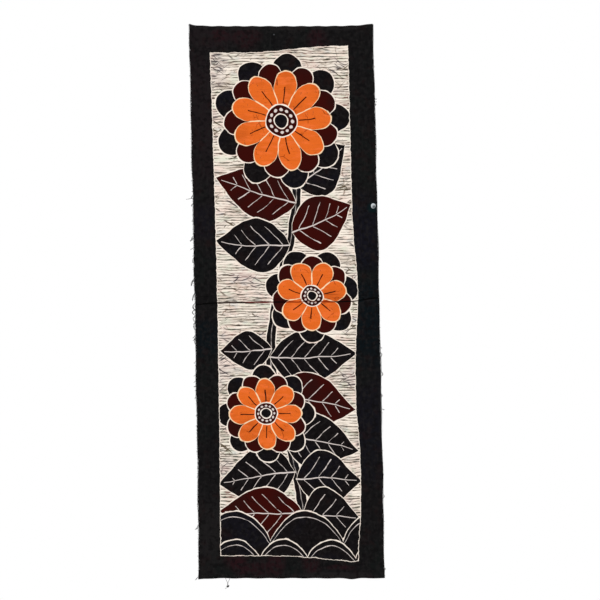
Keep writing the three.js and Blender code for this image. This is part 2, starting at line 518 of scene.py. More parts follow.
def eased(share: np.ndarray) -> np.ndarray:
    """A share held between 0 and 1, with a soft start and end."""
    held = np.clip(share, 0, 1)
    return held * held * (3 - 2 * held)


@dataclass(frozen=True)
class Hang:
    """The cut, outline and folds of the panel, in millimetres, with the top edge's middle at 0."""

    width: float = 304.5
    drop: float = 914.0
    flare: float = 0.007
    hem_thick: float = 2.4
    hem_width: float = 7.0
    hem_step: float = 0.6
    lean: float = 18.3
    bow: float = 1.0
    kick_left: tuple[float, float] = (3.8, 13.0)
    kick_right: tuple[float, float] = (4.3, 23.0)
    dip_left: tuple[float, float] = (-2.0, 10.0)
    bottom_sag: tuple[float, float, float] = (-1.3, 99.0, 9.0)
    splay_left: tuple[float, float] = (2.3, 30.0)
    corner_fade: float = 5.0
    fold_middle: float = 456.9
    fold_fall: float = -0.009
    fold_dip_left: tuple[float, float] = (3.4, 22.0)
    fold_rise_right: tuple[float, float] = (5.2, 0.16)
    fold_turn: float = 126.0
    fold_depth: float = 2.6
    fold_reach: float = 17.0
    top_flat: float = 55.0
    ripple: float = 0.35
    ripple_top: float = 27.0
    ripple_low: float = 38.0
    ripple_low_from: float = 8.0
    edge_overrun: float = 1.01
    wave: float = 1.5
    wave_at_top: float = 0.35
    flutes: tuple[float, float] = (2.3, 0.6)
    swells: tuple[float, float] = (1.7, 0.4)
    curl: float = 1.6
    curl_reach: float = 20.0
    curls: float = 1.4
    wander_out: float = 0.7
    wander_rim: float = 3.0
    wander_turns: float = 7.3
    wander_beat: float = 0.37

    @property
    def half(self) -> float:
        """Half the panel's width."""
        return self.width / 2

    def edges(self, across: np.ndarray, down: np.ndarray) -> np.ndarray:
        """How far the top and bottom edges lift or drop a point.

        Args:
            across: Millimetres from the middle.
            down: Shares of the drop.

        Returns:
            Millimetres upwards.
        """
        top = self.kick_left[0] * np.exp(-(across + self.half) / self.kick_left[1])
        top += self.kick_right[0] * np.exp((across - self.half) / self.kick_right[1])
        top += self.ripple * np.sin(TURN * across / self.ripple_top)
        low = self.dip_left[0] * np.exp(-(across + self.half) / self.dip_left[1])
        low += self.bottom_sag[0] * np.exp(-(((across - self.bottom_sag[1]) / self.bottom_sag[2]) ** 2))
        low += self.ripple * np.sin(TURN * (across + self.ripple_low_from) / self.ripple_low)
        near_top = np.clip(1 - down, 0, self.edge_overrun)
        near_low = np.clip(down, 0, self.edge_overrun)
        return top * near_top**self.corner_fade + low * near_low**self.corner_fade

    def fold_at(self, across: np.ndarray) -> np.ndarray:
        """Where the middle crease runs.

        Args:
            across: Millimetres from the middle.

        Returns:
            Shares of the drop.
        """
        dip = self.fold_dip_left[0] * np.exp(-(across + self.half) / self.fold_dip_left[1])
        rise = self.fold_rise_right[0] / (1 + np.exp((self.fold_turn - across) * self.fold_rise_right[1]))
        return (self.fold_middle + self.fold_fall * across + dip - rise) / self.drop

    def relief(self, across: np.ndarray, down: np.ndarray) -> np.ndarray:
        """How far the cloth stands forward of the wall.

        Args:
            across: Millimetres from the middle.
            down: Shares of the drop.

        Returns:
            Millimetres towards the front.
        """
        share = across / self.width
        start = self.hem_width + self.hem_step
        loose = eased((down * self.drop - start) / (self.top_flat - start))
        from_fold = np.abs(down - self.fold_at(across)) * self.drop
        trough = self.fold_depth * (1 - np.exp(-from_fold / self.fold_reach))
        flutes = 0.5 + 0.5 * np.sin(TURN * (self.flutes[0] * share + self.flutes[1] * down))
        swells = 1 - self.swells[1] + self.swells[1] * np.sin(TURN * self.swells[0] * down + 2 * share)
        wave = self.wave * flutes * swells * (self.wave_at_top + (1 - self.wave_at_top) * down)
        side = self.half - np.abs(across)
        curls = 0.5 + 0.5 * np.sin(TURN * self.curls * down + 3 * share)
        curl = self.curl * np.exp(-side / self.curl_reach) * curls
        return loose * (trough + wave + curl)

    def wander(self, across: np.ndarray, down: np.ndarray) -> np.ndarray:
        """How far the raw sides wander outwards, which only their outermost yarns do.

        Args:
            across: Millimetres from the middle.
            down: Shares of the drop.

        Returns:
            Millimetres to the right.
        """
        rim = eased((np.abs(across) - self.half + self.wander_rim) / self.wander_rim)
        turn = TURN * self.wander_turns * down + np.where(across > 0, 2.0, 0.0)
        return np.sign(across) * rim * self.wander_out * np.sin(turn) * np.sin(self.wander_beat * turn)

    def place(self, across: np.ndarray, down: np.ndarray, behind: np.ndarray) -> np.ndarray:
        """The place of points of the cloth.

        Args:
            across: Millimetres from the middle.
            down: Shares of the drop.
            behind: Millimetres behind the cloth's front.

        Returns:
            Points in metres, one to a row.
        """
        across, down, behind = np.broadcast_arrays(across, down, behind)
        reach = self.splay_left[1]
        corner = np.exp(-(across + self.half) / reach - self.drop * (1 - down) / reach)
        x = across * (1 + self.flare * down) + self.wander(across, down) - self.splay_left[0] * corner
        x = x + self.lean * down + self.bow * 4 * down * (1 - down)
        y = -self.hem_thick - self.relief(across, down) + behind
        z = self.edges(across, down) - self.drop * down
        return np.stack([x, y, z], axis=-1).reshape(-1, 3) * MM


HANG = Hang()


def wire_mesh(name: str, runs: Sequence[np.ndarray]) -> bpy.types.Mesh:
    """Edges along one or more runs of points.

    Args:
        name: The mesh's name.
        runs: The points of each run, in metres.

    Returns:
        The wire.
    """
    mesh = bpy.data.meshes.new(name)
    edges: list[tuple[int, int]] = []
    start = 0
    for run in runs:
        edges += [(start + i, start + i + 1) for i in range(len(run) - 1)]
        start += len(run)
    mesh.from_pydata(np.concatenate(runs).tolist(), edges, [])
    return mesh


def smooth_run(points: Sequence[Sequence[float]], steps: int) -> np.ndarray:
    """A smooth line through points, on a Catmull-Rom curve.

    Args:
        points: The points it passes through.
        steps: How many pieces each stretch is cut into.

    Returns:
        The line's points.
    """
    known = np.array(points, float)
    known = np.concatenate([[2 * known[0] - known[1]], known, [2 * known[-1] - known[-2]]])
    along = np.linspace(0, 1, steps, endpoint=False)[:, None]
    made = []
    for i in range(1, len(known) - 2):
        a, b, c, d = known[i - 1 : i + 3]
        squared = (2 * a - 5 * b + 4 * c - d) * along**2
        cubed = (3 * b - a - 3 * c + d) * along**3
        made.append(0.5 * (2 * b + (c - a) * along + squared + cubed))
    return np.concatenate([*made, known[-2:-1]])


def show(name: str, mesh: bpy.types.Mesh, slot: Slot, replaces: str = "") -> bpy.types.Object:
    """Puts a finished mesh in the scene as a piece of the hanging.

    Args:
        name: The piece's name.
        mesh: Its mesh, in the hanging's own frame.
        slot: The record's slot that it would take its finish from; not used.
        replaces: The solid that it stands for, if it does.

    Returns:
        The piece.
    """
    piece = bpy.data.objects.new(name, mesh)
    bpy.context.scene.collection.objects.link(piece)
    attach(piece, BODY)
    if replaces:
        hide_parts(replaces)
    return piece


# The batik's dyes and drawing


@dataclass(frozen=True)
class Dyes:
    """The cloth's colours, in linear light, among them the tints of its painted shade and highlight."""

    cream: Tint = (0.990, 0.890, 0.775, 1.0)
    cream_pink: Tint = (0.93, 0.70, 0.61, 1.0)
    cream_green: Tint = (0.76, 0.775, 0.63, 1.0)
    cream_blue: Tint = (0.68, 0.69, 0.67, 1.0)
    cream_beige: Tint = (0.65, 0.56, 0.46, 1.0)
    seeped: Tint = (0.55, 0.440, 0.355, 1.0)
    wax_on_dark: Tint = (0.74, 0.66, 0.62, 1.0)
    wax_on_orange: Tint = (0.98, 0.72, 0.46, 1.0)
    orange: Tint = (0.79, 0.143, 0.0165, 1.0)
    orange_deep: Tint = (0.61, 0.108, 0.0125, 1.0)
    orange_pale: Tint = (0.91, 0.175, 0.0380, 1.0)
    oxblood: Tint = (0.0380, 0.0018, 0.0008, 1.0)
    oxblood_brown: Tint = (0.0250, 0.0030, 0.0022, 1.0)
    black: Tint = (0.0056, 0.0040, 0.0045, 1.0)
    black_deep: Tint = (0.0026, 0.0020, 0.0024, 1.0)
    black_grey: Tint = (0.0054, 0.0050, 0.0053, 1.0)
    black_green: Tint = (0.0050, 0.0060, 0.0058, 1.0)
    black_navy: Tint = (0.0046, 0.0044, 0.0088, 1.0)
    black_teal: Tint = (0.0016, 0.0044, 0.0064, 1.0)
    black_warm: Tint = (0.0104, 0.0068, 0.0080, 1.0)
    black_red: Tint = (0.0118, 0.0046, 0.0046, 1.0)
    black_maroon: Tint = (0.0165, 0.0046, 0.0064, 1.0)
    # Paler black: real wear in the border's streaks and flecks, and painted highlight along the hems.
    black_worn_and_highlight: Tint = (0.0125, 0.0110, 0.0112, 1.0)
    line_brown: Tint = (0.064, 0.045, 0.032, 1.0)
    line_green: Tint = (0.048, 0.056, 0.040, 1.0)
    line_red: Tint = (0.190, 0.055, 0.048, 1.0)
    mark: Tint = (0.040, 0.030, 0.040, 1.0)
    mark_olive: Tint = (0.095, 0.066, 0.034, 1.0)
    smudge: Tint = (0.60, 0.51, 0.49, 1.0)
    # The three crease tints are partly painted shade along the middle fold and partly its dark and red dye
    # stain.
    crease: Tint = (0.150, 0.012, 0.014, 1.0)
    crease_shade_dark: Tint = (0.040, 0.022, 0.020, 1.0)
    crease_shade_on_orange: Tint = (0.46, 0.26, 0.20, 1.0)
    crack: Tint = (0.34, 0.24, 0.20, 1.0)
    washed: Tint = (0.30, 0.27, 0.25, 1.0)
    # Tint for the painted shade between the threads and for the darker tone of their thick places.
    thread_gap_shade_and_slub_tone: Tint = (0.42, 0.40, 0.40, 1.0)
    wax_drop: Tint = (0.62, 0.66, 0.68, 1.0)
    wax_drop_dim: Tint = (0.100, 0.110, 0.115, 1.0)
    teal: Tint = (0.0012, 0.0080, 0.0095, 1.0)
    grey_dot: Tint = (0.060, 0.060, 0.065, 1.0)


class Dye(Enum):
    """The dyes that a motif is filled with."""

    BLACK = "black"
    OXBLOOD = "oxblood"
    ORANGE = "orange"


@dataclass(frozen=True)
class Clouds:
    """Round soft patches in the dye, which start at one level of their noise and are full at another."""

    size: float
    seed: float
    start: float
    full: float
    strength: float = 1.0
    detail: float = 2.0

    def noise(self, paint: Shading, place: Value) -> Value:
        """The noise that they come from."""
        return paint.noise(place, self.size, self.seed, self.detail)


@dataclass(frozen=True)
class Streaks:
    """Soft patches in the dye that are longer one way than the other."""

    across: float
    down: float
    seed: float
    start: float
    full: float
    strength: float = 1.0
    detail: float = 3.0

    def noise(self, paint: Shading, place: Value) -> Value:
        """The noise that they come from."""
        return paint.streaks(place, self.across, self.down, self.seed, self.detail)


Patches = Union[Clouds, Streaks]


@dataclass(frozen=True)
class Leaf:
    """One leaf: where its stalk starts, the way it points and its size, in millimetres and degrees."""

    across: float
    down: float
    heading: float
    length: float
    half_width: float
    bend: float
    dye: Dye
    fullness: float = 0.78
    rib: float = 1.15
    rib_taper: float = 0.75
    rib_end: float = 0.93
    vein: float = 0.45
    vein_gap: float = 22.0
    vein_across: float = 17.0
    vein_slant: float = 0.85
    vein_margin: float = 0.24
    vein_clear: float = 1.8
    vein_end: float = 0.82


@dataclass(frozen=True)
class Flower:
    """One flower: its middle, its petals' reach and number, and how far it is turned."""

    across: float
    down: float
    reach: float
    petals: int
    turned: float
    sepals: float = 1.18
    front: float = 0.86
    petal_depth: float = 0.42
    petal_round: float = 0.55
    slope: float = 0.85
    streak: float = 0.90
    streak_end: float = 0.60
    streak_clear: float = 3.0
    heart: float = 0.26
    eye: float = 0.42
    beads: int = 12
    bead: float = 0.026
    bead_ring: float = 0.73


@dataclass(frozen=True)
class Stem:
    """The plant's stem, which swings from side to side as it climbs and is thicker low down."""

    middle: float = -4.0
    swing: float = 24.0
    wave: float = 560.0
    wave_from: float = 120.0
    top: float = 180.0
    half_width: float = 5.6
    growth: float = 0.0028
    slope: float = 0.97
    line: float = 0.55
    line_breaks: float = 0.52
    line_inset: float = 1.5


@dataclass(frozen=True)
class Hills:
    """A row of humps at the foot of the drawing: its level, the humps' size and how far they are moved."""

    level: float
    width: float
    height: float
    shift: float
    fullness: float = 0.7
    slope: float = 0.85
    line: float = 0.50
    line_inset: float = 7.5


@dataclass(frozen=True)
class InnerFrame:
    """The hand-drawn inner edge of the dark border, in the flat cloth's millimetres.

    The right side's swell and step are each a middle and a reach in shares of the drop, and a size.
    The top's rise and the bottom's fall are each where they start and end across, and a size.
    """

    left: float = -119.5
    right: float = 110.3
    top: float = 44.4
    bottom: float = 877.0
    left_arch: float = 14.0
    left_lean: float = 2.0
    right_swell: tuple[float, float, float] = (0.48, 0.085, 7.0)
    right_step: tuple[float, float, float] = (0.82, 0.10, 5.6)
    top_rise: tuple[float, float, float] = (-62.0, 92.0, 11.0)
    bottom_fall: tuple[float, float, float] = (-20.0, 112.0, 8.4)
    waver: float = 3.0
    ragged: float = 1.6


@dataclass(frozen=True)
class Stain:
    """A soft tint in the dark border, a stain in most places and painted highlight along the hems: its
    middle, its reach each way, its strength and its colour.
    """

    across: float
    down: float
    wide: float
    tall: float
    strength: float
    tint: Tint
    rim: float = 1.25
    core: float = 0.40
    ragged: float = 1.8


@dataclass(frozen=True)
class BrushGaps:
    """One set of dark gaps between brush strokes: how far apart they are, their fall and their seed.

    The sizes are those of the noises that they sway, quiver, swell and break by, across and down.
    """

    pitch: float
    slope: float
    seed: float
    sway: float = 10.0
    sway_size: tuple[float, float] = (75.0, 26.0)
    quiver: float = 4.2
    quiver_size: tuple[float, float] = (19.0, 6.0)
    weight_size: tuple[float, float] = (42.0, 4.4)
    weight_band: tuple[float, float] = (0.36, 0.66)
    dash: float = 0.66
    dash_size: tuple[float, float] = (14.0, 3.6)
    dash_band: tuple[float, float] = (0.54, 0.70)
    bold: float = 0.22
    bold_from: tuple[float, float] = (560.0, 820.0)
    thick: float = 0.46
    thin: float = 0.07
    strong: float = 0.64
    strong_band: tuple[float, float] = (0.30, 0.56)
    faint: float = 0.32
    blur: float = 0.38
    core: float = 0.12
    seep: float = 2.1
    seep_band: tuple[float, float] = (0.36, 0.58)


@dataclass(frozen=True)
class Cracks:
    """One set of cracks in the wax: their cells' size, seed, the share left out and half their width."""

    size: float
    seed: float
    left_out: float
    half_width: float


@dataclass(frozen=True)
class WaxDrop:
    """The white drop of wax in the right border, dimmer towards its lower right, with a damp stain under it.
    """

    place: tuple[float, float, float] = (145.7, 298.8, 0.0)
    radius: float = 4.2
    dim_at: tuple[float, float, float] = (147.1, 300.2, 0.0)
    dim_reach: tuple[float, float] = (1.5, 6.4)
    dim_ragged: float = 1.6
    damp_at: tuple[float, float, float] = (144.2, 301.8, 0.0)
    damp_reach: tuple[float, float] = (13.0, 7.5)
    damp_ragged: float = 4.0
    damp: float = 0.85


@dataclass(frozen=True)
class CreaseShadeAndStain:
    """The dark and red mark along the middle crease, partly dye stain and partly painted shade, and its bands
    across and above and below it. The fainter lines above it are painted shade along the smaller creases.
    """

    waver: float = 1.4
    thin: float = 0.15
    swell: float = 2.2
    soft: float = 0.50
    clots_above: tuple[float, float] = (-8.5, -3.0)
    clots_below: tuple[float, float] = (0.8, -0.6)
    red_left: tuple[float, float] = (-96.0, -74.0)
    red_right: tuple[float, float] = (92.0, 84.0)
    orange_left: tuple[float, float] = (-20.0, -6.0)
    orange_right: tuple[float, float] = (94.0, 76.0)
    on_orange: float = 0.8
    fainter: tuple[tuple[float, float, float], ...] = ((6.2, 0.30, 75.0), (12.0, 0.45, 77.0))
    fainter_strength: float = 0.8


LEAVES = (
    Leaf(18, 292, 190, 136, 43, 0.14, Dye.OXBLOOD),
    Leaf(20, 262, -27, 102, 42, -0.20, Dye.BLACK),
    Leaf(12, 342, -17, 106, 44, -0.14, Dye.OXBLOOD),
    Leaf(6, 362, 175, 120, 44, 0.14, Dye.BLACK),
    Leaf(-28, 534, 171, 84, 31, 0.12, Dye.BLACK),
    Leaf(-29, 548, 3, 140, 45, -0.10, Dye.BLACK),
    Leaf(-24, 612, 4, 136, 44, 0.10, Dye.OXBLOOD),
    Leaf(-14, 676, 7, 128, 45, 0.10, Dye.BLACK),
    Leaf(8, 738, 176, 126, 46, -0.10, Dye.BLACK),
    Leaf(11, 750, -4, 104, 46, 0.10, Dye.BLACK),
    Leaf(18, 806, 176, 136, 44, 0.10, Dye.OXBLOOD),
    Leaf(19, 812, -5, 95, 46, 0.12, Dye.BLACK),
)

FLOWERS = (
    Flower(-3, 157, 95, 9, 0.2),
    Flower(41, 446, 66, 7, 0.7),
    Flower(-38, 642, 68, 8, 0.1),
)

BORDER_STAINS = (
    Stain(-135, 150, 50, 190, 0.9, Dyes.black_warm),
    Stain(-112, 20, 46, 32, 0.8, Dyes.black_warm),
    Stain(-100, 14, 14, 14, 0.8, Dyes.black_maroon),
    Stain(-56, 16, 26, 24, 0.7, Dyes.black_maroon),
    Stain(57, 16, 18, 28, 0.8, Dyes.black_maroon),
    # Painted highlight: a paler band along the top hem's folded edge.
    Stain(0, 3, 165, 5, 0.8, Dyes.black_worn_and_highlight),
    Stain(-136, 322, 34, 30, 0.5, Dyes.black_navy),
    Stain(-136, 528, 36, 40, 0.8, Dyes.black_teal),
    Stain(-136, 600, 36, 50, 0.6, Dyes.black_green),
    Stain(-132, 840, 46, 70, 0.5, Dyes.black_worn_and_highlight),
    Stain(132, 350, 40, 70, 0.9, Dyes.black_navy),
    Stain(132, 485, 44, 88, 0.9, Dyes.black_teal),
    Stain(132, 665, 40, 90, 0.6, Dyes.black_navy),
    Stain(-88, 889, 26, 22, 1.0, Dyes.black_maroon),
    Stain(-54, 896, 22, 14, 0.6, Dyes.black_maroon),
    Stain(-26, 889, 16, 22, 0.8, Dyes.black_maroon),
    Stain(33, 889, 18, 22, 0.8, Dyes.black_maroon),
    Stain(76, 895, 28, 5, 0.7, Dyes.black_maroon),
    # Painted highlight: a paler band along the bottom hem's folded edge, on its right-hand part.
    Stain(66, 908, 80, 5, 0.9, Dyes.black_worn_and_highlight),
)

HILLS = (
    Hills(854.0, 118.0, 51.0, 0.9),
    Hills(881.0, 79.0, 30.0, 2.1),
)


class Batik:
    """The dyed drawing on the cloth: a flowering plant inside a dark border, over a brushed ground, with
    painted shade along the creases and painted highlight along the hems.
    """

    EDGE = 0.35
    WAX_LINE = 1.7
    WAX_UNEVEN = 3.2
    LINE_UNEVEN = 1.5
    STREAK_UNEVEN = 1.1
    HAND_SIZE = 42.0
    HAND_SHIFT = 9.0
    CROOKED_SIZE = 100 / 9
    CROOKED_SHIFT = 11.0
    MARK_HEADINGS = ((-38.0, 52.0), (33.0, 54.0), (-8.0, 56.0))
    DOT = (-12.4, 14.6, 0.0)
    DOT_RADIUS = 1.1

    NAVY = Clouds(60.0, 9.0, 0.48, 0.62, 0.6)
    RED = Clouds(33.0, 10.0, 0.56, 0.72, 0.7, 3.0)
    DEEP_FLECKS = Clouds(8.0, 13.0, 0.48, 0.62, 0.65)
    PALE_FLECKS = Clouds(6.0, 12.0, 0.50, 0.64, 0.50)
    BORDER_RED = Clouds(19.0, 10.0, 0.54, 0.68, 0.45, 3.0)
    BORDER_WORN = Streaks(2.8, 34.0, 11.0, 0.52, 0.72, 0.5)
    ORANGE_PALE = Streaks(22.0, 7.0, 15.0, 0.50, 0.66, 0.6)
    ORANGE_DULL = Streaks(34.0, 1.8, 19.0, 0.58, 0.70, 0.5, 2.0)
    ORANGE_STROKES = Streaks(1.5, 7.5, 23.0, 0.72, 0.78, detail=1.0)
    BEIGE = Streaks(26.0, 6.0, 16.0, 0.50, 0.70)
    PINK = Streaks(30.0, 20.0, 12.0, 0.48, 0.62, 0.5)
    GREEN = Streaks(26.0, 15.0, 14.0, 0.52, 0.64, 0.75)
    BLUE = Streaks(20.0, 12.0, 17.0, 0.57, 0.68, 0.55)
    INK_GREEN = Streaks(40.0, 8.0, 4.0, 0.42, 0.58, detail=2.0)
    CROSSED = Streaks(60.0, 22.0, 31.0, 0.46, 0.56, detail=1.0)
    CRACKED = Clouds(40.0, 51.0, 0.48, 0.60, detail=1.0)
    CLOTS = Streaks(5.5, 2.6, 58.0, 0.68, 0.76, 0.75, 2.0)
    CREASE_CLOTS = Streaks(11.0, 3.0, 73.0, 0.54, 0.66, 0.85, 2.0)
    CREASE_RED = Streaks(34.0, 30.0, 79.0, 0.36, 0.50, detail=1.0)

    def __init__(self, paint: Shading, dyes: Dyes) -> None:
        """Starts the drawing on a bare ground.

        Args:
            paint: The material's nodes.
            dyes: The colours.
        """
        self.paint = paint
        self.dyes = dyes
        uv = paint.value("ShaderNodeUVMap", {"uv_map": PanelCloth.UV}, {})
        scaled = {0: uv, "Scale": PanelCloth.UV_SCALE}
        self.flat = paint.value("ShaderNodeVectorMath", {"operation": "SCALE"}, scaled)
        self.across, self.down = paint.split(self.flat)
        centred = paint.vector("SUBTRACT", paint.wobble(self.flat, self.HAND_SIZE), (0.5, 0.5, 0.5))
        self.hand = paint.vector("MULTIPLY_ADD", centred, (self.HAND_SHIFT, self.HAND_SHIFT, 0.0), self.flat)
        self.hand_across, self.hand_down = paint.split(self.hand)
        self.uneven = paint.noise(self.flat, 9.0, 3.0, 2.0)
        self.cloud = paint.noise(self.flat, 46.0, 5.0, 3.0)
        self.speck = paint.noise(self.flat, 3.2, 8.0, 2.0)
        self.wax_width = self.pen(self.WAX_LINE, self.WAX_UNEVEN)
        self.dye = {
            Dye.BLACK: self.black_dye(),
            Dye.OXBLOOD: self.oxblood_dye(),
            Dye.ORANGE: self.orange_dye(),
        }
        self.free = self.frame_distance(InnerFrame())
        self.colour: Value = self.dye[Dye.BLACK]

    def pen(self, middle: float, uneven: float) -> Value:
        """Half the width of a hand-drawn line, in millimetres: its middle value, more or less uneven."""
        return self.uneven * uneven + (middle - uneven / 2)

    def tinted(self, body: Colour, *tints: tuple[Patches, Tint]) -> Value:
        """Lays patches of other tints over a colour.

        Args:
            body: The colour.
            tints: The patches and their tints, in the order in which they are laid.

        Returns:
            The tinted colour.
        """
        for patches, tint in tints:
            body = self.paint.mix(self.paint.patches(patches, self.flat), body, tint)
        return body

    def turned(self, place: Value, heading: float) -> tuple[Value, Value]:
        """Reads a place along a heading and square to it.

        Args:
            place: The place.
            heading: The heading, in degrees.

        Returns:
            The distance along the heading and that aside of it.
        """
        turn = math.radians(heading)
        along = self.paint.along(place, (math.cos(turn), math.sin(turn), 0.0))
        aside = self.paint.along(place, (-math.sin(turn), math.cos(turn), 0.0))
        return along, aside

    def flecked(self, body: Value) -> Value:
        """Adds the deeper and paler flecks of unevenly taken dye to a black."""
        dyes = self.dyes
        return self.tinted(body, (self.DEEP_FLECKS, dyes.black_deep), (self.PALE_FLECKS, dyes.black_worn_and_highlight))

    def black_dye(self) -> Value:
        """The motifs' black dye, with clouds of navy and red, and deeper and paler flecks."""
        dyes = self.dyes
        return self.flecked(self.tinted(dyes.black, (self.NAVY, dyes.black_navy), (self.RED, dyes.black_red)))

    def border_dye(self) -> Value:
        """The border's black dye, tinted by its stains, paler in fine streaks down the cloth and in bands of
        painted highlight along the hems.

        Returns:
            The dye's colour.
        """
        paint = self.paint
        dyes = self.dyes
        body = paint.mix(paint.ramp(self.cloud, 0.48, 0.64), dyes.black_grey, dyes.black_green)
        for stain in BORDER_STAINS:
            place = paint.vector("SUBTRACT", self.flat, (stain.across, stain.down, 0.0))
            scaled = paint.vector("MULTIPLY", place, (1 / stain.wide, 1 / stain.tall, 0.0))
            reach = paint.length(scaled) + (self.cloud - 0.5) * stain.ragged
            body = paint.mix(paint.ramp(reach, stain.rim, stain.core) * stain.strength, body, stain.tint)
        body = self.tinted(body, (self.BORDER_RED, dyes.black_red), (self.BORDER_WORN, dyes.black_worn_and_highlight))
        return self.flecked(body)

    def oxblood_dye(self) -> Value:
        """Oxblood dye, browner in places."""
        brown = self.paint.ramp(self.cloud, 0.4, 0.7)
        return self.paint.mix(brown, self.dyes.oxblood, self.dyes.oxblood_brown)

    def orange_dye(self) -> Value:
        """Orange dye, deeper and paler in places, with brown specks and a few short brown strokes.

        Returns:
            The dye's colour.
        """
        paint = self.paint
        dyes = self.dyes
        body = paint.mix(paint.ramp(self.cloud, 0.46, 0.70) * 0.8, dyes.orange, dyes.orange_deep)
        body = self.tinted(body, (self.ORANGE_PALE, dyes.orange_pale), (self.ORANGE_DULL, dyes.orange_deep))
        specks = paint.most(paint.ramp(self.speck, 0.70, 0.78), paint.patches(self.ORANGE_STROKES, self.hand))
        return paint.mix(specks * 0.8, body, dyes.line_brown)

    def frame_distance(self, inner: InnerFrame) -> Value:
        """How far outside the border's inner edge a place is.

        Args:
            inner: The inner edge.

        Returns:
            Millimetres, below zero inside the drawing.
        """
        paint = self.paint
        share = self.down * (1 / HANG.drop)
        left = share * (1.0 - share) * inner.left_arch + share * inner.left_lean + inner.left
        swell_at, swell_reach, swell = inner.right_swell
        near = (share - swell_at) * (1 / swell_reach)
        step_at, step_reach, step = inner.right_step
        low = (share - step_at) * (1 / step_reach)
        right = paint.math("EXPONENT", near * near * -1.0) * swell + inner.right
        right = right + paint.math("EXPONENT", low * low * low * low * -1.0) * step
        *rise, rise_size = inner.top_rise
        *fall, fall_size = inner.bottom_fall
        top = inner.top - paint.ramp(self.across, *rise) * rise_size
        bottom = paint.ramp(self.across, *fall) * fall_size + inner.bottom
        waver = (self.uneven - 0.5) * inner.waver + (self.speck - 0.5) * inner.ragged
        sides = paint.most(left - self.across, self.across - right)
        ends = paint.most(top - self.down, self.down - bottom)
        return paint.most(sides, ends) + waver

    def lay(self, distance: Value, dye: Dye, wax: Colour | None = None) -> None:
        """Fills a motif with dye inside its wax line, over what is there.

        Args:
            distance: Millimetres outside the motif.
            dye: What it is filled with.
            wax: The wax line's colour, if it isn't the usual one.
        """
        self.draw(distance - self.wax_width, wax or self.wax_colour)
        self.draw(distance, self.dye[dye])

    def draw(self, distance: Value, colour: Colour) -> None:
        """Draws a line or spot over what is there.

        Args:
            distance: Millimetres outside the line.
            colour: Its colour.
        """
        self.colour = self.paint.mix(self.paint.inside(distance, self.EDGE), self.colour, colour)

    def leaf(self, leaf: Leaf) -> None:
        """Draws one leaf with its midrib and side veins.

        Args:
            leaf: The leaf.
        """
        paint = self.paint
        place = paint.vector("SUBTRACT", self.hand, (leaf.across, leaf.down, 0.0))
        along, across = self.turned(place, leaf.heading)
        share = along * (1 / leaf.length)
        held = paint.most(paint.least(share, 1.0), 0.0)
        aside = abs(across - share * share * (leaf.bend * leaf.length))
        beyond = abs(share - held) * leaf.length
        swell = paint.math("SINE", held**leaf.fullness * math.pi)
        distance = aside + beyond - swell * leaf.half_width
        self.lay(distance, leaf.dye)
        rib = aside - (leaf.rib - share * leaf.rib_taper)
        rib = paint.most(rib, share * leaf.length - leaf.length * leaf.rib_end)
        row = (share * leaf.length - aside * leaf.vein_slant) * (1 / leaf.vein_gap)
        vein = abs(paint.math("FRACT", row) - 0.5) * leaf.vein_across - self.pen(leaf.vein, self.LINE_UNEVEN)
        vein = paint.most(vein, distance + leaf.half_width * leaf.vein_margin)
        vein = paint.most(vein, leaf.vein_clear - aside)
        vein = paint.most(vein, (share - leaf.vein_end) * leaf.length)
        self.draw(paint.most(paint.least(rib, vein), distance + 1.0), self.dyes.wax_on_dark)

    def petals(self, flower: Flower, place: Value, share: float, turned: float) -> tuple[Value, Value, Value]:
        """Reads a place as part of a ring of petals.

        Args:
            flower: The flower.
            place: The place from the flower's middle.
            share: How far this ring's petals reach, as a share of the flower's reach.
            turned: How far the ring is turned.

        Returns:
            The distance outside the petals, that from the gap between two petals, and that from a
            petal's own middle.
        """
        paint = self.paint
        x, y = paint.split(place)
        out = paint.length(place)
        phase = paint.math("ARCTAN2", y, x) * (flower.petals / 2) + turned
        lobe = abs(paint.math("COSINE", phase))
        reach = flower.reach * share
        depth = flower.petal_depth * reach
        edge = lobe**flower.petal_round * depth + (reach - depth)
        part = 2 / flower.petals
        middle = abs(paint.math("SINE", phase)) * out * part
        return (out - edge) * flower.slope, lobe * out * part, middle

    def flower(self, flower: Flower) -> None:
        """Draws one flower: sepals, two rings of petals, their streaks and the heart.

        Args:
            flower: The flower.
        """
        paint = self.paint
        dyes = self.dyes
        place = paint.vector("SUBTRACT", self.hand, (flower.across, flower.down, 0.0))
        out = paint.length(place)
        heart = flower.reach * flower.heart
        sepals, _, _ = self.petals(flower, place, flower.sepals, flower.turned)
        self.lay(sepals, Dye.BLACK)
        behind, _, _ = self.petals(flower, place, 1.0, flower.turned + math.pi / 2)
        self.lay(behind, Dye.OXBLOOD)
        front, gap, middle = self.petals(flower, place, flower.front, flower.turned)
        self.lay(front, Dye.ORANGE, dyes.wax_on_orange)
        seam = paint.most(gap - self.wax_width * 0.5, heart - out)
        self.draw(paint.most(seam, front), dyes.wax_on_orange)
        streak = middle - self.pen(flower.streak, self.STREAK_UNEVEN)
        streak = paint.most(streak, out - flower.reach * flower.streak_end)
        streak = paint.most(streak, heart + flower.streak_clear - out)
        self.draw(streak, self.dye[Dye.OXBLOOD])
        self.lay(out - heart, Dye.OXBLOOD)
        self.lay(out - heart * flower.eye, Dye.BLACK)
        self.beads(flower, place, out)

    def beads(self, flower: Flower, place: Value, out: Value) -> None:
        """Draws the ring of pale dots in a flower's heart.

        Args:
            flower: The flower.
            place: The place from the flower's middle.
            out: How far that is from the middle.
        """
        paint = self.paint
        x, y = paint.split(place)
        swing = paint.math("SINE", paint.math("ARCTAN2", y, x) * (flower.beads / 2))
        ring = flower.reach * flower.heart * flower.bead_ring
        bead = paint.length(paint.point(abs(swing) * out * (2 / flower.beads), out - ring))
        self.draw(bead - flower.reach * flower.bead, self.dyes.wax_on_dark)

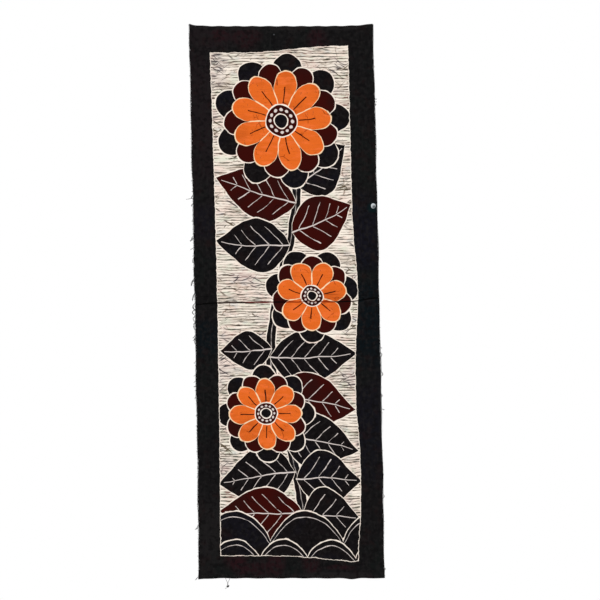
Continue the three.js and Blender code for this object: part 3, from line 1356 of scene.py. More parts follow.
    def stem(self, stem: Stem) -> None:
        """Draws the stem, with a broken wax line along its middle.

        Args:
            stem: The stem.
        """
        paint = self.paint
        swing = paint.math("SINE", (self.hand_down - stem.wave_from) * (TURN / stem.wave)) * stem.swing
        aside = abs(self.hand_across - swing - stem.middle) * stem.slope
        distance = aside - (self.hand_down * stem.growth + stem.half_width)
        distance = paint.most(distance, stem.top - self.hand_down)
        self.lay(distance, Dye.BLACK)
        line = paint.most(aside - stem.line, stem.line_breaks - self.uneven)
        self.draw(paint.most(line, distance + stem.line_inset), self.dyes.wax_on_dark)

    def hills(self, hills: Hills) -> None:
        """Draws one row of the scalloped ground that the plant grows from.

        Args:
            hills: The row.
        """
        hump = abs(self.paint.math("SINE", self.hand_across * (math.pi / hills.width) + hills.shift))
        distance = (hills.level - hump**hills.fullness * hills.height - self.hand_down) * hills.slope
        self.lay(distance, Dye.BLACK)
        line = abs(distance + hills.line_inset) - self.pen(hills.line, self.LINE_UNEVEN)
        self.draw(line, self.dyes.wax_on_dark)

    def ground(self) -> None:
        """Brushes the bare ground: uneven wax strokes with dark gaps between them, marks and smudges."""
        paint = self.paint
        dyes = self.dyes
        beige = paint.patches(self.BEIGE, self.flat)
        self.wax_colour = paint.mix(beige * 0.5, dyes.cream, dyes.cream_pink)
        tints = (self.PINK, dyes.cream_pink), (self.GREEN, dyes.cream_green), (self.BLUE, dyes.cream_blue)
        bare = self.tinted(paint.mix(beige, dyes.cream, dyes.cream_beige), *tints)
        ink = self.tinted(dyes.line_brown, (self.INK_GREEN, dyes.line_green))
        ink = paint.mix(paint.ramp(self.cloud, 0.58, 0.66) * 0.8, ink, dyes.line_red)
        lines, halo = self.strokes(BrushGaps(4.6, 0.0, 21.0))
        crossing, _ = self.strokes(BrushGaps(5.8, 0.040, 25.0))
        lines = paint.most(lines, crossing * paint.patches(self.CROSSED, self.flat) * 0.85)
        self.colour = paint.mix(lines, paint.mix(halo * 0.48, bare, dyes.seeped), ink)
        self.marks()

    def strokes(self, gaps: BrushGaps) -> tuple[Value, Value]:
        """Draws one set of brush gaps, wavy, forking, broken and uneven in weight.

        Args:
            gaps: The set.

        Returns:
            The gaps' strength and that of the dye seeped beside them, from 0 to 1.
        """
        paint = self.paint
        flat = self.flat
        sway = paint.streaks(flat, *gaps.sway_size, gaps.seed, 2.0) * gaps.sway
        quiver = paint.streaks(flat, *gaps.quiver_size, gaps.seed + 1, 2.0) * gaps.quiver
        row = (self.down + sway + quiver + self.across * gaps.slope) * (1 / gaps.pitch)
        gap = abs(paint.math("FRACT", row) - 0.5) * gaps.pitch
        weight = paint.streaks(flat, *gaps.weight_size, gaps.seed + 2, 2.0)
        dash = paint.patches(Streaks(*gaps.dash_size, gaps.seed + 3, *gaps.dash_band, detail=1.0), flat)
        bold = paint.ramp(self.down, *gaps.bold_from) * gaps.bold
        thick = paint.ramp(weight, *gaps.weight_band) * (bold + gaps.thick) + dash * gaps.dash + gaps.thin
        strength = paint.most(paint.ramp(weight, *gaps.strong_band) * gaps.strong + gaps.faint, dash)
        line = paint.ramp(gap, thick + gaps.blur, thick - gaps.core) * strength
        halo = paint.ramp(gap, thick + gaps.seep, thick) * paint.ramp(weight, *gaps.seep_band)
        return line, halo

    def marks(self) -> None:
        """Adds the slanting dark marks, clots and smudges where the wax cracked or dripped."""
        paint = self.paint
        dyes = self.dyes
        where = paint.patches(self.CRACKED, self.flat)
        smudge = where * paint.ramp(self.cloud, 0.46, 0.60) * 0.28
        self.colour = paint.mix(smudge, self.colour, dyes.smudge)
        shade = paint.mix(paint.ramp(self.cloud, 0.46, 0.54), dyes.mark_olive, dyes.mark)
        for heading, seed in self.MARK_HEADINGS:
            place = paint.point(*self.turned(self.hand, heading))
            mark = paint.patches(Streaks(28.0, 3.7, seed, 0.605, 0.67, detail=2.0), place)
            self.colour = paint.mix(mark * where * 0.9, self.colour, shade)
        self.colour = self.tinted(self.colour, (self.CLOTS, dyes.line_green))

    def veins(self, cracks: Cracks) -> Value:
        """Fine dye veins where the wax cracked.

        Args:
            cracks: The set of cracks.

        Returns:
            Their strength from 0 to 1.
        """
        paint = self.paint
        seed = cracks.seed
        scale = 1 / cracks.size
        crooked = paint.wobble(self.flat, self.CROOKED_SIZE)
        bent = paint.vector("MULTIPLY_ADD", crooked, (self.CROOKED_SHIFT, self.CROOKED_SHIFT, 0.0), self.hand)
        moved = paint.vector("MULTIPLY_ADD", bent, (scale, scale, 0.0), (seed, seed * 2, 0.0))
        settings = {"feature": "DISTANCE_TO_EDGE", "voronoi_dimensions": "2D"}
        cells = paint.value("ShaderNodeTexVoronoi", settings, {"Vector": moved, "Scale": 1.0}, "Distance")
        size, start = cracks.size * 0.4, cracks.left_out
        there = paint.patches(Clouds(size, seed + 4, start, start + 0.05, detail=1.0), self.flat)
        return paint.ramp(cells * cracks.size, cracks.half_width, cracks.half_width * 0.3) * there

    def border(self, drop: WaxDrop) -> None:
        """Dyes the dark border over the drawing, with its thin wax line, and its wax drop and dot.

        Args:
            drop: The wax drop.
        """
        paint = self.paint
        dyes = self.dyes
        outside = self.free * -1.0
        self.draw(outside - self.wax_width * 0.55, self.wax_colour)
        self.draw(outside, self.border_dye())
        damp = self.away(drop.damp_at) + self.speck * drop.damp_ragged
        self.colour = paint.mix(paint.ramp(damp, *drop.damp_reach) * drop.damp, self.colour, dyes.teal)
        # The drop is dimmer towards its lower right.
        thin = self.away(drop.dim_at) + self.speck * drop.dim_ragged
        wax = paint.mix(paint.ramp(thin, *drop.dim_reach), dyes.wax_drop_dim, dyes.wax_drop)
        self.draw(self.away(drop.place) - drop.radius, wax)
        self.draw(self.away(self.DOT) - self.DOT_RADIUS, dyes.grey_dot)

    def away(self, place: tuple[float, float, float]) -> Value:
        """How far from a place of the flat cloth, in millimetres."""
        return self.paint.vector("DISTANCE", self.hand, place, out="Value")

    def from_crease(self, waver: float) -> Value:
        """How far below the middle crease a place is.

        Args:
            waver: How far the dyed line strays from the crease.

        Returns:
            Millimetres, below zero above the crease.
        """
        paint = self.paint
        dip, dip_reach = HANG.fold_dip_left
        rise, rise_rate = HANG.fold_rise_right
        level = self.across * HANG.fold_fall + HANG.fold_middle
        level = level + paint.math("EXPONENT", (self.across + HANG.half) * (-1 / dip_reach)) * dip
        turned = paint.math("EXPONENT", (HANG.fold_turn - self.across) * rise_rate) + 1.0
        level = level - paint.math("DIVIDE", rise, turned)
        return self.down - level + (self.uneven - 0.5) * waver

    def crease(self, stain: CreaseShadeAndStain) -> None:
        """Darkens the crease across the middle with painted shade and dye stain, adds the clots on it, and
        paints shade along the fainter creases above it.

        Args:
            stain: The painted shade and dye stain along the crease.
        """
        paint = self.paint
        dyes = self.dyes
        below = self.from_crease(stain.waver)
        weight = paint.streaks(self.flat, 26.0, 9.0, 71.0, 2.0)
        main = paint.inside(abs(below) - (weight * stain.swell + stain.thin), stain.soft)
        clots = paint.patches(self.CREASE_CLOTS, self.flat)
        clots = clots * paint.ramp(below, *stain.clots_above) * paint.ramp(below, *stain.clots_below)
        mark = paint.most(main, clots)
        # The fainter lines are painted shade along the smaller creases of the cloth's relief.
        for above, half_width, seed in stain.fainter:
            there = paint.patches(Streaks(32.0, 14.0, seed, 0.42, 0.54, detail=1.0), self.flat)
            line = paint.inside(abs(below + above) - half_width, stain.soft)
            mark = paint.most(mark, line * there * stain.fainter_strength)
        red = paint.patches(self.CREASE_RED, self.flat)
        red = red * paint.ramp(self.across, *stain.red_left) * paint.ramp(self.across, *stain.red_right)
        shade = paint.mix(red, dyes.crease_shade_dark, dyes.crease)
        warm = paint.ramp(self.across, *stain.orange_left) * paint.ramp(self.across, *stain.orange_right)
        shade = paint.mix(warm * stain.on_orange, shade, dyes.crease_shade_on_orange)
        # Painted shade and dye stain, multiplied into the colour along the creases.
        self.colour = paint.mix(mark, self.colour, shade, "MULTIPLY")

    def paint_all(self) -> Value:
        """Draws everything in order.

        Returns:
            The finished colour.
        """
        paint = self.paint
        self.ground()
        self.stem(Stem())
        for leaf in LEAVES:
            self.leaf(leaf)
        for flower in FLOWERS:
            self.flower(flower)
        for hills in HILLS:
            self.hills(hills)
        wide = self.veins(Cracks(60.0, 2.3, 0.55, 1.15)) * paint.ramp(self.uneven, 0.34, 0.56)
        cracks = paint.most(wide, self.veins(Cracks(29.0, 6.1, 0.61, 0.55)))
        self.colour = paint.mix(cracks * 0.80, self.colour, self.dyes.crack, "MULTIPLY")
        self.border(WaxDrop())
        self.crease(CreaseShadeAndStain())
        return self.colour


@dataclass(frozen=True)
class CottonFinish:
    """Plain-weave cotton, dyed through and quite matt."""

    roughness: float = 0.92
    specular: float = 0.05
    sheen: float = 0.012
    sheen_roughness: float = 0.6
    washed: float = 0.10
    thread_pitch: float = 0.50
    thread_turn: float = 0.2
    thread_gap_painted_shade: float = 0.16
    slub_length: float = 24.0
    slub_band: tuple[float, float] = (0.42, 0.66)
    slub_shade: float = 0.14
    slub_height: float = 0.8
    bump: float = 0.50
    bump_height: float = 0.09

    def make(self) -> bpy.types.Material:
        """Builds the material.

        Returns:
            The material, for a piece with the cloth's flat map.
        """
        paint = Shading("Batik cotton")
        batik = Batik(paint, Dyes())
        colour = batik.paint_all()
        reverse = paint.value("ShaderNodeAttribute", {"attribute_name": PanelCloth.REVERSE}, {}, "Fac")
        colour = paint.mix(reverse * self.washed, colour, batik.dyes.washed)
        colour, height = self.weave(paint, batik, colour)
        bump = {"Strength": self.bump, "Distance": self.bump_height * MM, "Height": height}
        numbers = {
            "Roughness": self.roughness,
            "Specular IOR Level": self.specular,
            "Sheen Weight": self.sheen,
            "Sheen Roughness": self.sheen_roughness,
        }
        paint.finish(colour, bump, numbers)
        LOG.info("batik cotton: %d nodes", len(paint.tree.nodes))
        return paint.material

    def weave(self, paint: Shading, batik: Batik, colour: Value) -> tuple[Value, Value]:
        """Weaves the cloth: warp and weft lie on top by turns, and each has thick and thin places.

        Args:
            paint: The material's nodes.
            batik: The drawing, whose flat place the threads follow.
            colour: The drawing's colour.

        Returns:
            The colour with painted shade in the gaps between the threads and a darker tone at their thick
            places, and their height.
        """
        turn = math.pi / self.thread_pitch
        cell = paint.math("SINE", batik.across * turn) * paint.math("SINE", batik.down * turn)
        crown = abs(cell)
        weft_up = paint.ramp(cell, -self.thread_turn, self.thread_turn)
        warp_slub = paint.streaks(batik.flat, self.thread_pitch, self.slub_length, 41.0)
        weft_slub = paint.streaks(batik.flat, self.slub_length, self.thread_pitch, 43.0)
        slub = warp_slub + (weft_slub - warp_slub) * weft_up
        # Painted shade in the gaps where the threads dip, and a darker tone at random thick places.
        shade = (1.0 - crown) * self.thread_gap_painted_shade + paint.ramp(slub, *self.slub_band) * self.slub_shade
        shaded = paint.mix(shade, colour, batik.dyes.thread_gap_shade_and_slub_tone, "MULTIPLY")
        return shaded, crown + slub * self.slub_height


@dataclass(frozen=True)
class YarnFinish:
    """Loose cotton yarn, dyed dark, with paler fibres."""

    name: str
    dark: Tint
    pale: Tint
    roughness: float = 0.95
    specular: float = 0.12
    fibre_scale: float = 900.0
    patch_scale: float = 60.0
    fibre_share: float = 0.6
    pale_band: tuple[float, float] = (0.42, 0.66)
    bump: float = 0.4
    bump_height: float = 0.05

    def make(self) -> bpy.types.Material:
        """Builds the material.

        Returns:
            The material.
        """
        paint = Shading(self.name)
        place = paint.value("ShaderNodeTexCoord", {}, {}, "Object")
        fibres = {"Vector": place, "Scale": self.fibre_scale, "Detail": 2.0}
        patches = {"Vector": place, "Scale": self.patch_scale, "Detail": 1.0}
        fine = paint.value("ShaderNodeTexNoise", {}, fibres)
        slow = paint.value("ShaderNodeTexNoise", {}, patches)
        share = paint.ramp(fine * self.fibre_share + slow * (1 - self.fibre_share), *self.pale_band)
        colour = paint.mix(share, self.dark, self.pale)
        bump = {"Strength": self.bump, "Distance": self.bump_height * MM, "Height": fine}
        paint.finish(colour, bump, {"Roughness": self.roughness, "Specular IOR Level": self.specular})
        return paint.material


# The pieces


@dataclass
class PanelCloth:
    """The panel: one sheet of cotton, turned back twice at its top and bottom as narrow hems."""

    UV = "flat_cloth"
    UV_SCALE = 1000.0
    REVERSE = "reverse"
    SQUARE_ENDS = 0.02

    thick: float = 0.7
    gap: float = 0.15
    cell: float = 3.15
    raw: float = 0.8
    raw_end: float = 2.6
    nibble: float = 0.16
    sharp_from: float = 48.0
    gather: float = 0.28
    gather_reach: float = 20.0
    gather_pitch: float = 8.7
    gather_uneven: float = 1.7
    gather_drift: float = 23.0
    waves: int = 14
    wave: float = 0.10
    wave_sizes: tuple[float, float] = (34.0, 120.0)
    wave_start: float = 12.0
    wave_fade: float = 60.0
    crease: float = 0.45
    crease_reach: float = 2.2
    fainter: tuple[tuple[float, float, float], ...] = ((0.20, 7.0, 1.8), (0.16, 12.7, 2.0))
    flat_length: float = field(init=False, default=0.0)

    def hem_path(self) -> list[tuple[float, float]]:
        """The top hem from its hidden raw edge to the front of the cloth.

        Returns:
            Places down from the top edge and behind the front, for the middle of the cloth's thickness.
        """
        lap = self.thick + self.gap
        inner = self.thick / 2 + lap
        turn = lap / 2
        low = HANG.hem_width - turn - self.thick / 2
        crest = lap + self.thick / 2
        quarter = math.pi / 2
        path = [(x, inner) for x in np.linspace(self.raw_end, low, 4)[:-1]]
        for a in np.linspace(-quarter, quarter, 7):
            path.append((low + turn * math.cos(a), inner + turn + turn * math.sin(a)))
        path += [(x, inner + lap) for x in np.linspace(low, crest, 5)[1:-1]]
        for a in np.linspace(quarter, -quarter, 10):
            path.append((crest - lap * math.cos(a), inner + lap * math.sin(a)))
        return path

    def section(self) -> np.ndarray:
        """The whole cloth seen from its side, from one hidden raw edge to the other.

        Returns:
            Rows of places down and behind, and the distance along the cloth with 0 at the top.
        """
        hem = self.hem_path()
        crest = hem[-1][0]
        steps = round((HANG.drop - 2 * crest) / self.cell)
        front = [(x, self.thick / 2) for x in np.linspace(crest, HANG.drop - crest, steps + 1)[1:-1]]
        path = np.array(hem + front + [(HANG.drop - x, b) for x, b in reversed(hem)])
        run = np.concatenate([[0], np.cumsum(np.linalg.norm(np.diff(path, axis=0), axis=1))])
        self.flat_length = float(run[-1])
        return np.column_stack([path, run - run[len(hem) - 1] + crest])

    def puckers(self, across: np.ndarray, down: np.ndarray) -> np.ndarray:
        """Fine unevenness that the solids leave out.

        It is the gathers at the hems, small waves, the sharp crease and the fainter ones above it.

        Args:
            across: Millimetres from the middle.
            down: Shares of the drop.

        Returns:
            Millimetres towards the front.
        """
        low = down * HANG.drop
        near_hem = np.exp(-np.minimum(low, np.abs(HANG.drop - low)) / self.gather_reach)
        uneven = self.gather_uneven * np.sin(across / self.gather_drift)
        gathers = self.gather * near_hem * (0.5 + 0.5 * np.sin(TURN * across / self.gather_pitch + uneven))
        random = np.random.default_rng(12)
        waves = np.zeros_like(across + down)
        for _ in range(self.waves):
            size = random.uniform(*self.wave_sizes)
            turn = random.uniform(0, math.pi)
            phase = random.uniform(0, TURN)
            waves += np.sin(TURN * (across * math.cos(turn) + low * math.sin(turn)) / size + phase)
        waves = self.wave * waves * np.clip((low - self.wave_start) / self.wave_fade, 0, 1)
        above = HANG.fold_at(across) * HANG.drop - low
        creases = -self.crease * np.exp(-np.abs(above) / self.crease_reach)
        for height, place, reach in self.fainter:
            creases = creases + height * np.exp(-np.abs(above - place) / reach)
        return gathers + waves + creases

    def mesh(self) -> bpy.types.Mesh:
        """Builds the closed sheet with its flat map.

        Returns:
            The mesh.
        """
        rows = self.section()
        way = np.gradient(rows[:, :2], axis=0)
        way /= np.linalg.norm(way, axis=1)[:, None]
        out = np.column_stack([way[:, 1], -way[:, 0]]) * self.thick / 2
        edge = HANG.half - self.raw
        columns = np.linspace(-edge, edge, round(2 * edge / self.cell) + 1)
        random = np.random.default_rng(4)
        points = []
        for sign in (1, -1):
            surface = rows[:, :2] + sign * out
            share = surface[:, :1] / HANG.drop
            slant = (HANG.fold_at(columns)[None, :] - 0.5) * (1 - np.abs(2 * share - 1))
            slant = np.where((share > self.SQUARE_ENDS) & (share < 1 - self.SQUARE_ENDS), slant, 0)
            down = share + slant
            flat = rows[:, 2:] + slant * HANG.drop
            grid = np.repeat(columns[None, :], len(rows), axis=0)
            behind = surface[:, 1:2] - self.puckers(grid, down)
            points.append(HANG.place(grid, down, behind).reshape(len(rows), len(columns), 3))
        nibble = random.normal(0, self.nibble, (len(rows), 2)) * MM
        for sheet in points:
            sheet[:, 0, 0] += nibble[:, 0]
            sheet[:, -1, 0] += nibble[:, 1]
        return self.join(np.array(points), np.stack([grid, flat], -1))

    def join(self, points: np.ndarray, flat: np.ndarray) -> bpy.types.Mesh:
        """Joins the two faces of the sheet with its rims.

        Args:
            points: The points of the face and of the reverse, by row and column.
            flat: Each row and column's place on the flat cloth, across and down.

        Returns:
            The mesh.
        """
        _, tall, wide, _ = points.shape
        index = np.arange(points[..., 0].size).reshape(2, tall, wide)
        face, back = index
        quads = [
            np.stack([face[:-1, :-1], face[1:, :-1], face[1:, 1:], face[:-1, 1:]], -1),
            np.stack([back[:-1, :-1], back[:-1, 1:], back[1:, 1:], back[1:, :-1]], -1),
            np.stack([face[:-1, 0], back[:-1, 0], back[1:, 0], face[1:, 0]], -1),
            np.stack([face[:-1, -1], face[1:, -1], back[1:, -1], back[:-1, -1]], -1),
            np.stack([face[0, :-1], face[0, 1:], back[0, 1:], back[0, :-1]], -1),
            np.stack([face[-1, :-1], back[-1, :-1], back[-1, 1:], face[-1, 1:]], -1),
        ]
        faces = np.concatenate([q.reshape(-1, 4) for q in quads])
        mesh = bpy.data.meshes.new("batik_cloth")
        mesh.from_pydata(points.reshape(-1, 3).tolist(), [], faces.tolist())
        corners = np.tile(flat.reshape(-1, 2) / self.UV_SCALE, (2, 1))[faces.ravel()]
        mesh.uv_layers.new(name=self.UV).uv.foreach_set("vector", corners.astype(np.float32).ravel())
        reverse = mesh.attributes.new(self.REVERSE, "FLOAT", "POINT")
        reverse.data.foreach_set("value", np.repeat([0.0, 1.0], tall * wide).astype(np.float32))
        mesh.shade_smooth()
        mesh.set_sharp_from_angle(angle=math.radians(self.sharp_from))
        return mesh

    def build(self) -> bpy.types.Object:
        """Builds the cloth and dresses it.

        Returns:
            The piece.
        """
        mesh = self.mesh()
        mesh.materials.append(CottonFinish().make())
        piece = show("batik_cloth", mesh, Slot.CLOTH, "cloth_panel")
        LOG.info("batik cloth: %d faces, %.1f mm along its middle", len(mesh.polygons), self.flat_length)
        return piece


class Stream:
    """A repeatable stream of numbers from 0 to 1, the one that the solids' strands come from."""

    APART = 7919
    START = 17
    FACTOR = 48271
    PRIME = 2147483647

    def __init__(self, seed: int) -> None:
        """Starts the stream.

        Args:
            seed: Which stream it is.
        """
        self.state = seed * self.APART + self.START

    def next(self) -> float:
        """The next number."""
        self.state = (self.state * self.FACTOR) % self.PRIME
        return self.state / self.PRIME


@dataclass(frozen=True)
class Wisp:
    """Fibres that leave a raw side together, along places out from it and down the panel."""

    path: tuple[tuple[float, float], ...]
    fibres: int
    stray: float = 0.35


@dataclass
class FrayedSide:
    """One raw side: loose warp yarns along it, short weft ends all the way down, and wisps."""

    side: Side
    seed: int
    short_ends: int
    short_from: float
    short_to: float
    short_longest: float
    wisps: tuple[Wisp, ...]
    stub_length: float = 1.5
    stub_pitch: float = 0.62
    stub_droop: float = 0.25
    stub_radius: float = 0.13
    stub_inset: float = 0.9
    yarn_radius: float = 0.21
    yarn_tip: float = 0.35
    behind: float = 0.35
    root_depth: float = 1.2
    root_shift: float = 0.4
    free_from: float = 1.6
    end_fibres: int = 5
    end_shortest: float = 0.35
    end_droop: tuple[float, float] = (0.15, 0.75)
    end_lift: float = 1.4
    end_spread: tuple[float, float] = (0.10, 0.12)
    end_stray: float = 0.9
    warp_offsets: tuple[float, ...] = (-0.75, -0.3, 0.1)
    warp_margin: float = 0.0012
    warp_points: int = 260
    warp_sway: float = 0.42
    warp_lift: float = 0.35
    warp_smooth: int = 9

    @property
    def edge(self) -> float:
        """The raw side's place across."""
        return self.side.value * HANG.half

    def lip(self, down: float, out: float = 0.0) -> np.ndarray:
        """A point of the raw side, or a little outside it, in metres."""
        point = HANG.place(np.array(self.edge), np.array(down), np.array(self.behind))[0]
        return point + np.array([self.side.value * out, 0, 0]) * MM

    def run_down(self, margin: float, count: int) -> np.ndarray:
        """Points all down the raw side, but for a margin at each end, in metres."""
        down = np.linspace(margin, 1 - margin, count)
        return HANG.place(np.full_like(down, self.edge), down, np.full_like(down, self.behind))

    def drift(self, random: np.random.Generator) -> np.ndarray:
        """A smooth random line with a value for each point of a warp yarn."""
        steps = random.normal(0, 1, self.warp_points + self.warp_smooth - 1)
        return np.convolve(steps, np.ones(self.warp_smooth) / self.warp_smooth, "valid")

    def warp(self) -> list[np.ndarray]:
        """The loose warp yarns that run down the raw side.

        Returns:
            Their runs of points.
        """
        random = np.random.default_rng(self.seed)
        runs = []
        for offset in self.warp_offsets:
            place = self.run_down(self.warp_margin, self.warp_points)
            place[:, 0] += (self.side.value * offset + self.warp_sway * self.drift(random)) * MM
            place[:, 1] += self.warp_lift * self.drift(random) * MM
            runs.append(place)
        return runs

    def long_end(self, down: float, stream: Stream, longest: float) -> list[np.ndarray]:
        """One long yarn end and the finer fibres beside it.

        Args:
            down: Where it leaves the raw side.
            stream: The numbers that shape it.
            longest: The longest that it may be, in millimetres.

        Returns:
            Its runs of points.
        """
        out = self.side.value
        least, more = self.end_droop
        length = longest * (self.end_shortest + (1 - self.end_shortest) * stream.next())
        droop = length * (least + more * stream.next())
        lift = (stream.next() - 0.5) * self.end_lift
        root = self.lip(down, -self.root_depth)
        lip = self.lip(down)
        runs = []
        for part in np.linspace(-1, 1, self.end_fibres):
            spread = (self.end_spread[0] * length + self.end_spread[1]) * part
            middle = lip + np.array([out * length * 0.5, -lift, -droop * 0.3 + spread * 0.4]) * MM
            tip = lip + np.array([out * length * (0.75 - 0.1 * abs(part)), -lift * 1.6, -droop + spread]) * MM
            runs.append(smooth_run([root, lip, middle, tip], 4))
        return runs

    def fibres(self, wisp: Wisp, random: np.random.Generator) -> list[np.ndarray]:
        """The fibres of one wisp, which stray apart where they are free of the raw side.

        Args:
            wisp: The wisp.
            random: Where their straying comes from.

        Returns:
            Their runs of points.
        """
        path = [(-self.root_depth, wisp.path[0][1] - self.root_shift), *wisp.path]
        comes_back = path[-1][0] < 0.5
        if comes_back:
            path.append((-self.root_depth, path[-1][1] + self.root_shift))
        known = np.array(path)
        free = np.clip(known[:, :1] / self.free_from, 0, 1)
        roots = np.array([self.lip(down / HANG.drop, out) for out, down in known])
        runs = []
        for _ in range(wisp.fibres):
            shift = random.normal(0, wisp.stray, roots.shape) * free * MM
            runs.append(smooth_run(roots + shift, 5))
        return runs

    def strands(self) -> list[np.ndarray]:
        """The wisps, and the longer yarn ends where the solids have theirs.

        Returns:
            Their runs of points.
        """
        random = np.random.default_rng(self.seed + 100)
        runs: list[np.ndarray] = []
        for wisp in self.wisps:
            runs += self.fibres(wisp, random)
        stream = Stream(self.seed)
        span = (self.short_to - self.short_from) / self.short_ends
        for i in range(self.short_ends):
            down = self.short_from + span * (i + self.end_stray * stream.next())
            runs += self.long_end(down, stream, self.short_longest)
        return runs

    def build(self, yarns: Making, repeats: Making, material: bpy.types.Material) -> bpy.types.Object:
        """Builds the raw side from its warp, short ends and strands.

        Args:
            yarns: The tree that makes yarns.
            repeats: The tree that sets short ends along a wire.
            material: The yarn's material.

        Returns:
            The piece.
        """
        name = f"frayed_yarns_{self.side.name.lower()}"
        size = {"Radius": self.yarn_radius * MM, "Material": material}
        whole = {**size, "Sides": 4, "Tip": 1.0}
        thinned = {**size, "Sides": 5, "Tip": self.yarn_tip}
        inset = self.run_down(0.001, 300)
        inset[:, 0] -= self.side.value * self.stub_inset * MM
        stubs = {
            "Spacing": self.stub_pitch * MM,
            "Length": self.side.value * self.stub_length * MM,
            "Droop": -self.stub_droop * MM,
            "Radius": self.stub_radius * MM,
            "Seed": self.seed,
            "Material": material,
        }
        warp = yarns.apply("warp", wire_mesh("warp_wire", self.warp()), whole)
        strands = yarns.apply("strands", wire_mesh("strand_wire", self.strands()), thinned)
        ends = repeats.apply("ends", wire_mesh("side_wire", [inset]), stubs)
        mesh = joined(name, [warp, strands, ends])
        piece = show(name, mesh, Slot.YARN, f"frayed_side_{self.side.name.lower()}")
        LOG.info("%s: %d faces", name, len(mesh.polygons))
        return piece


LEFT_WISPS = (
    Wisp(((0.0, 286.0), (5.0, 287.0), (11.0, 287.6)), 2, 0.25),
    Wisp(((0.0, 281.5), (1.8, 284.0), (2.6, 286.0)), 4),
    Wisp(((0.0, 294.5), (1.8, 297.0), (1.8, 299.5)), 4),
    Wisp(((0.0, 348.0), (2.0, 351.5), (3.0, 354.0)), 3),
    Wisp(((0.0, 352.0), (3.0, 354.6), (5.6, 356.8)), 7, 0.5),
    Wisp(((0.0, 367.5), (2.5, 369.5), (5.6, 370.5)), 3),
    Wisp(((0.0, 384.0), (1.4, 388.0), (1.6, 392.5)), 6),
    Wisp(((0.0, 419.0), (2.8, 424.5), (4.4, 430.0)), 9, 0.6),
    Wisp(((0.0, 442.0), (2.6, 448.0), (4.2, 454.5)), 6, 0.5),
    Wisp(((0.0, 459.0), (3.4, 464.0), (2.8, 468.0), (0.0, 470.5)), 6, 0.5),
    Wisp(((0.0, 470.0), (3.2, 471.8), (3.8, 475.2), (0.0, 479.5)), 6, 0.5),
    Wisp(((0.0, 480.5), (3.6, 484.0), (2.2, 487.5), (0.0, 491.0)), 4, 0.5),
    Wisp(((0.0, 490.0), (1.7, 494.0), (1.9, 499.0), (0.0, 504.0)), 6),
    Wisp(((0.6, 492.0), (3.2, 493.6)), 3),
    Wisp(((0.6, 496.5), (3.2, 497.8)), 3),
    Wisp(((0.0, 512.0), (2.0, 514.5), (4.2, 516.2)), 6),
    Wisp(((0.0, 515.0), (1.8, 519.0), (4.0, 521.2)), 4),
    Wisp(((0.4, 518.0), (1.6, 522.5), (0.0, 527.5)), 4),
    Wisp(((0.0, 554.0), (1.8, 557.0), (3.2, 558.5)), 4),
    Wisp(((0.0, 576.5), (2.0, 578.5), (3.6, 579.5)), 2),
    Wisp(((0.0, 587.0), (2.0, 588.5), (3.4, 590.0)), 2),
    Wisp(((0.0, 595.0), (1.6, 596.5), (3.2, 597.0)), 4),
    Wisp(((0.0, 613.0), (1.4, 615.0), (2.4, 616.6)), 5),
    Wisp(((0.0, 643.0), (1.0, 644.5), (1.6, 645.6)), 4),
    Wisp(((0.0, 825.0), (2.4, 829.0), (5.0, 831.6)), 5, 0.6),
    Wisp(((0.0, 909.0), (2.0, 912.0), (4.4, 914.6)), 4),
)

RIGHT_WISPS = (
    Wisp(((0.0, 122.0), (1.8, 124.0), (3.2, 122.6)), 3, 0.25),
    Wisp(((0.0, 126.0), (1.4, 128.5), (2.6, 127.0)), 2, 0.25),
    Wisp(((0.0, 131.0), (1.2, 132.4), (1.0, 134.4)), 4),
    Wisp(((0.0, 532.0), (1.4, 533.6), (2.2, 533.0)), 4),
    Wisp(((0.0, 541.0), (1.4, 543.5), (0.0, 548.0)), 5),
    Wisp(((0.0, 571.5), (2.0, 574.5), (2.6, 577.0), (0.0, 579.5)), 8, 0.4),
    Wisp(((0.0, 609.0), (1.6, 611.5), (0.0, 615.0)), 5),
    Wisp(((0.0, 633.5), (2.0, 634.6), (4.0, 634.8)), 6),
    Wisp(((0.0, 775.0), (1.8, 778.0), (0.0, 781.0)), 6),
    Wisp(((0.0, 896.5), (1.4, 898.5), (0.0, 901.0)), 4),
)


def joined(name: str, meshes: Sequence[bpy.types.Mesh]) -> bpy.types.Mesh:
    """Joins meshes of one material into one.

    Args:
        name: The new mesh's name.
        meshes: The meshes, which are used up.

    Returns:
        The joined mesh.
    """
    whole = bmesh.new()
    for mesh in meshes:
        whole.from_mesh(mesh)
    made = bpy.data.meshes.new(name)
    whole.to_mesh(made)
    whole.free()
    made.materials.append(meshes[0].materials[0])
    for mesh in meshes:
        bpy.data.meshes.remove(mesh)
    made.shade_smooth()
    return made


@dataclass
class HemStitches:
    """The rows of machine stitches that hold the two hems."""

    from_edge: float = 5.3
    from_side: float = 2.5
    proud: float = 0.06
    pitch: float = 2.9
    length: float = 2.45
    radius: float = 0.17

    def build(self, stitches: Making, material: bpy.types.Material) -> bpy.types.Object:
        """Builds both rows, on the front and on the back.

        Args:
            stitches: The tree that lays stitches along a wire.
            material: The thread's material.

        Returns:
            The piece.
        """
        reach = HANG.half - self.from_side
        across = np.linspace(-reach, reach, 160)
        cloth = PanelCloth()
        runs = []
        for share in (self.from_edge / HANG.drop, 1 - self.from_edge / HANG.drop):
            down = np.full_like(across, share)
            for behind in (-self.proud, HANG.hem_thick + self.proud):
                runs.append(HANG.place(across, down, behind - cloth.puckers(across, down)))
        values = {
            "Pitch": self.pitch * MM,
            "Length": self.length * MM,
            "Radius": self.radius * MM,
            "Material": material,
        }
        mesh = stitches.apply("hem_stitches", wire_mesh("hem_wire", runs), values)
        piece = show("hem_stitches", mesh, Slot.THREAD)
        LOG.info("hem stitches: %d faces", len(mesh.polygons))
        return piece


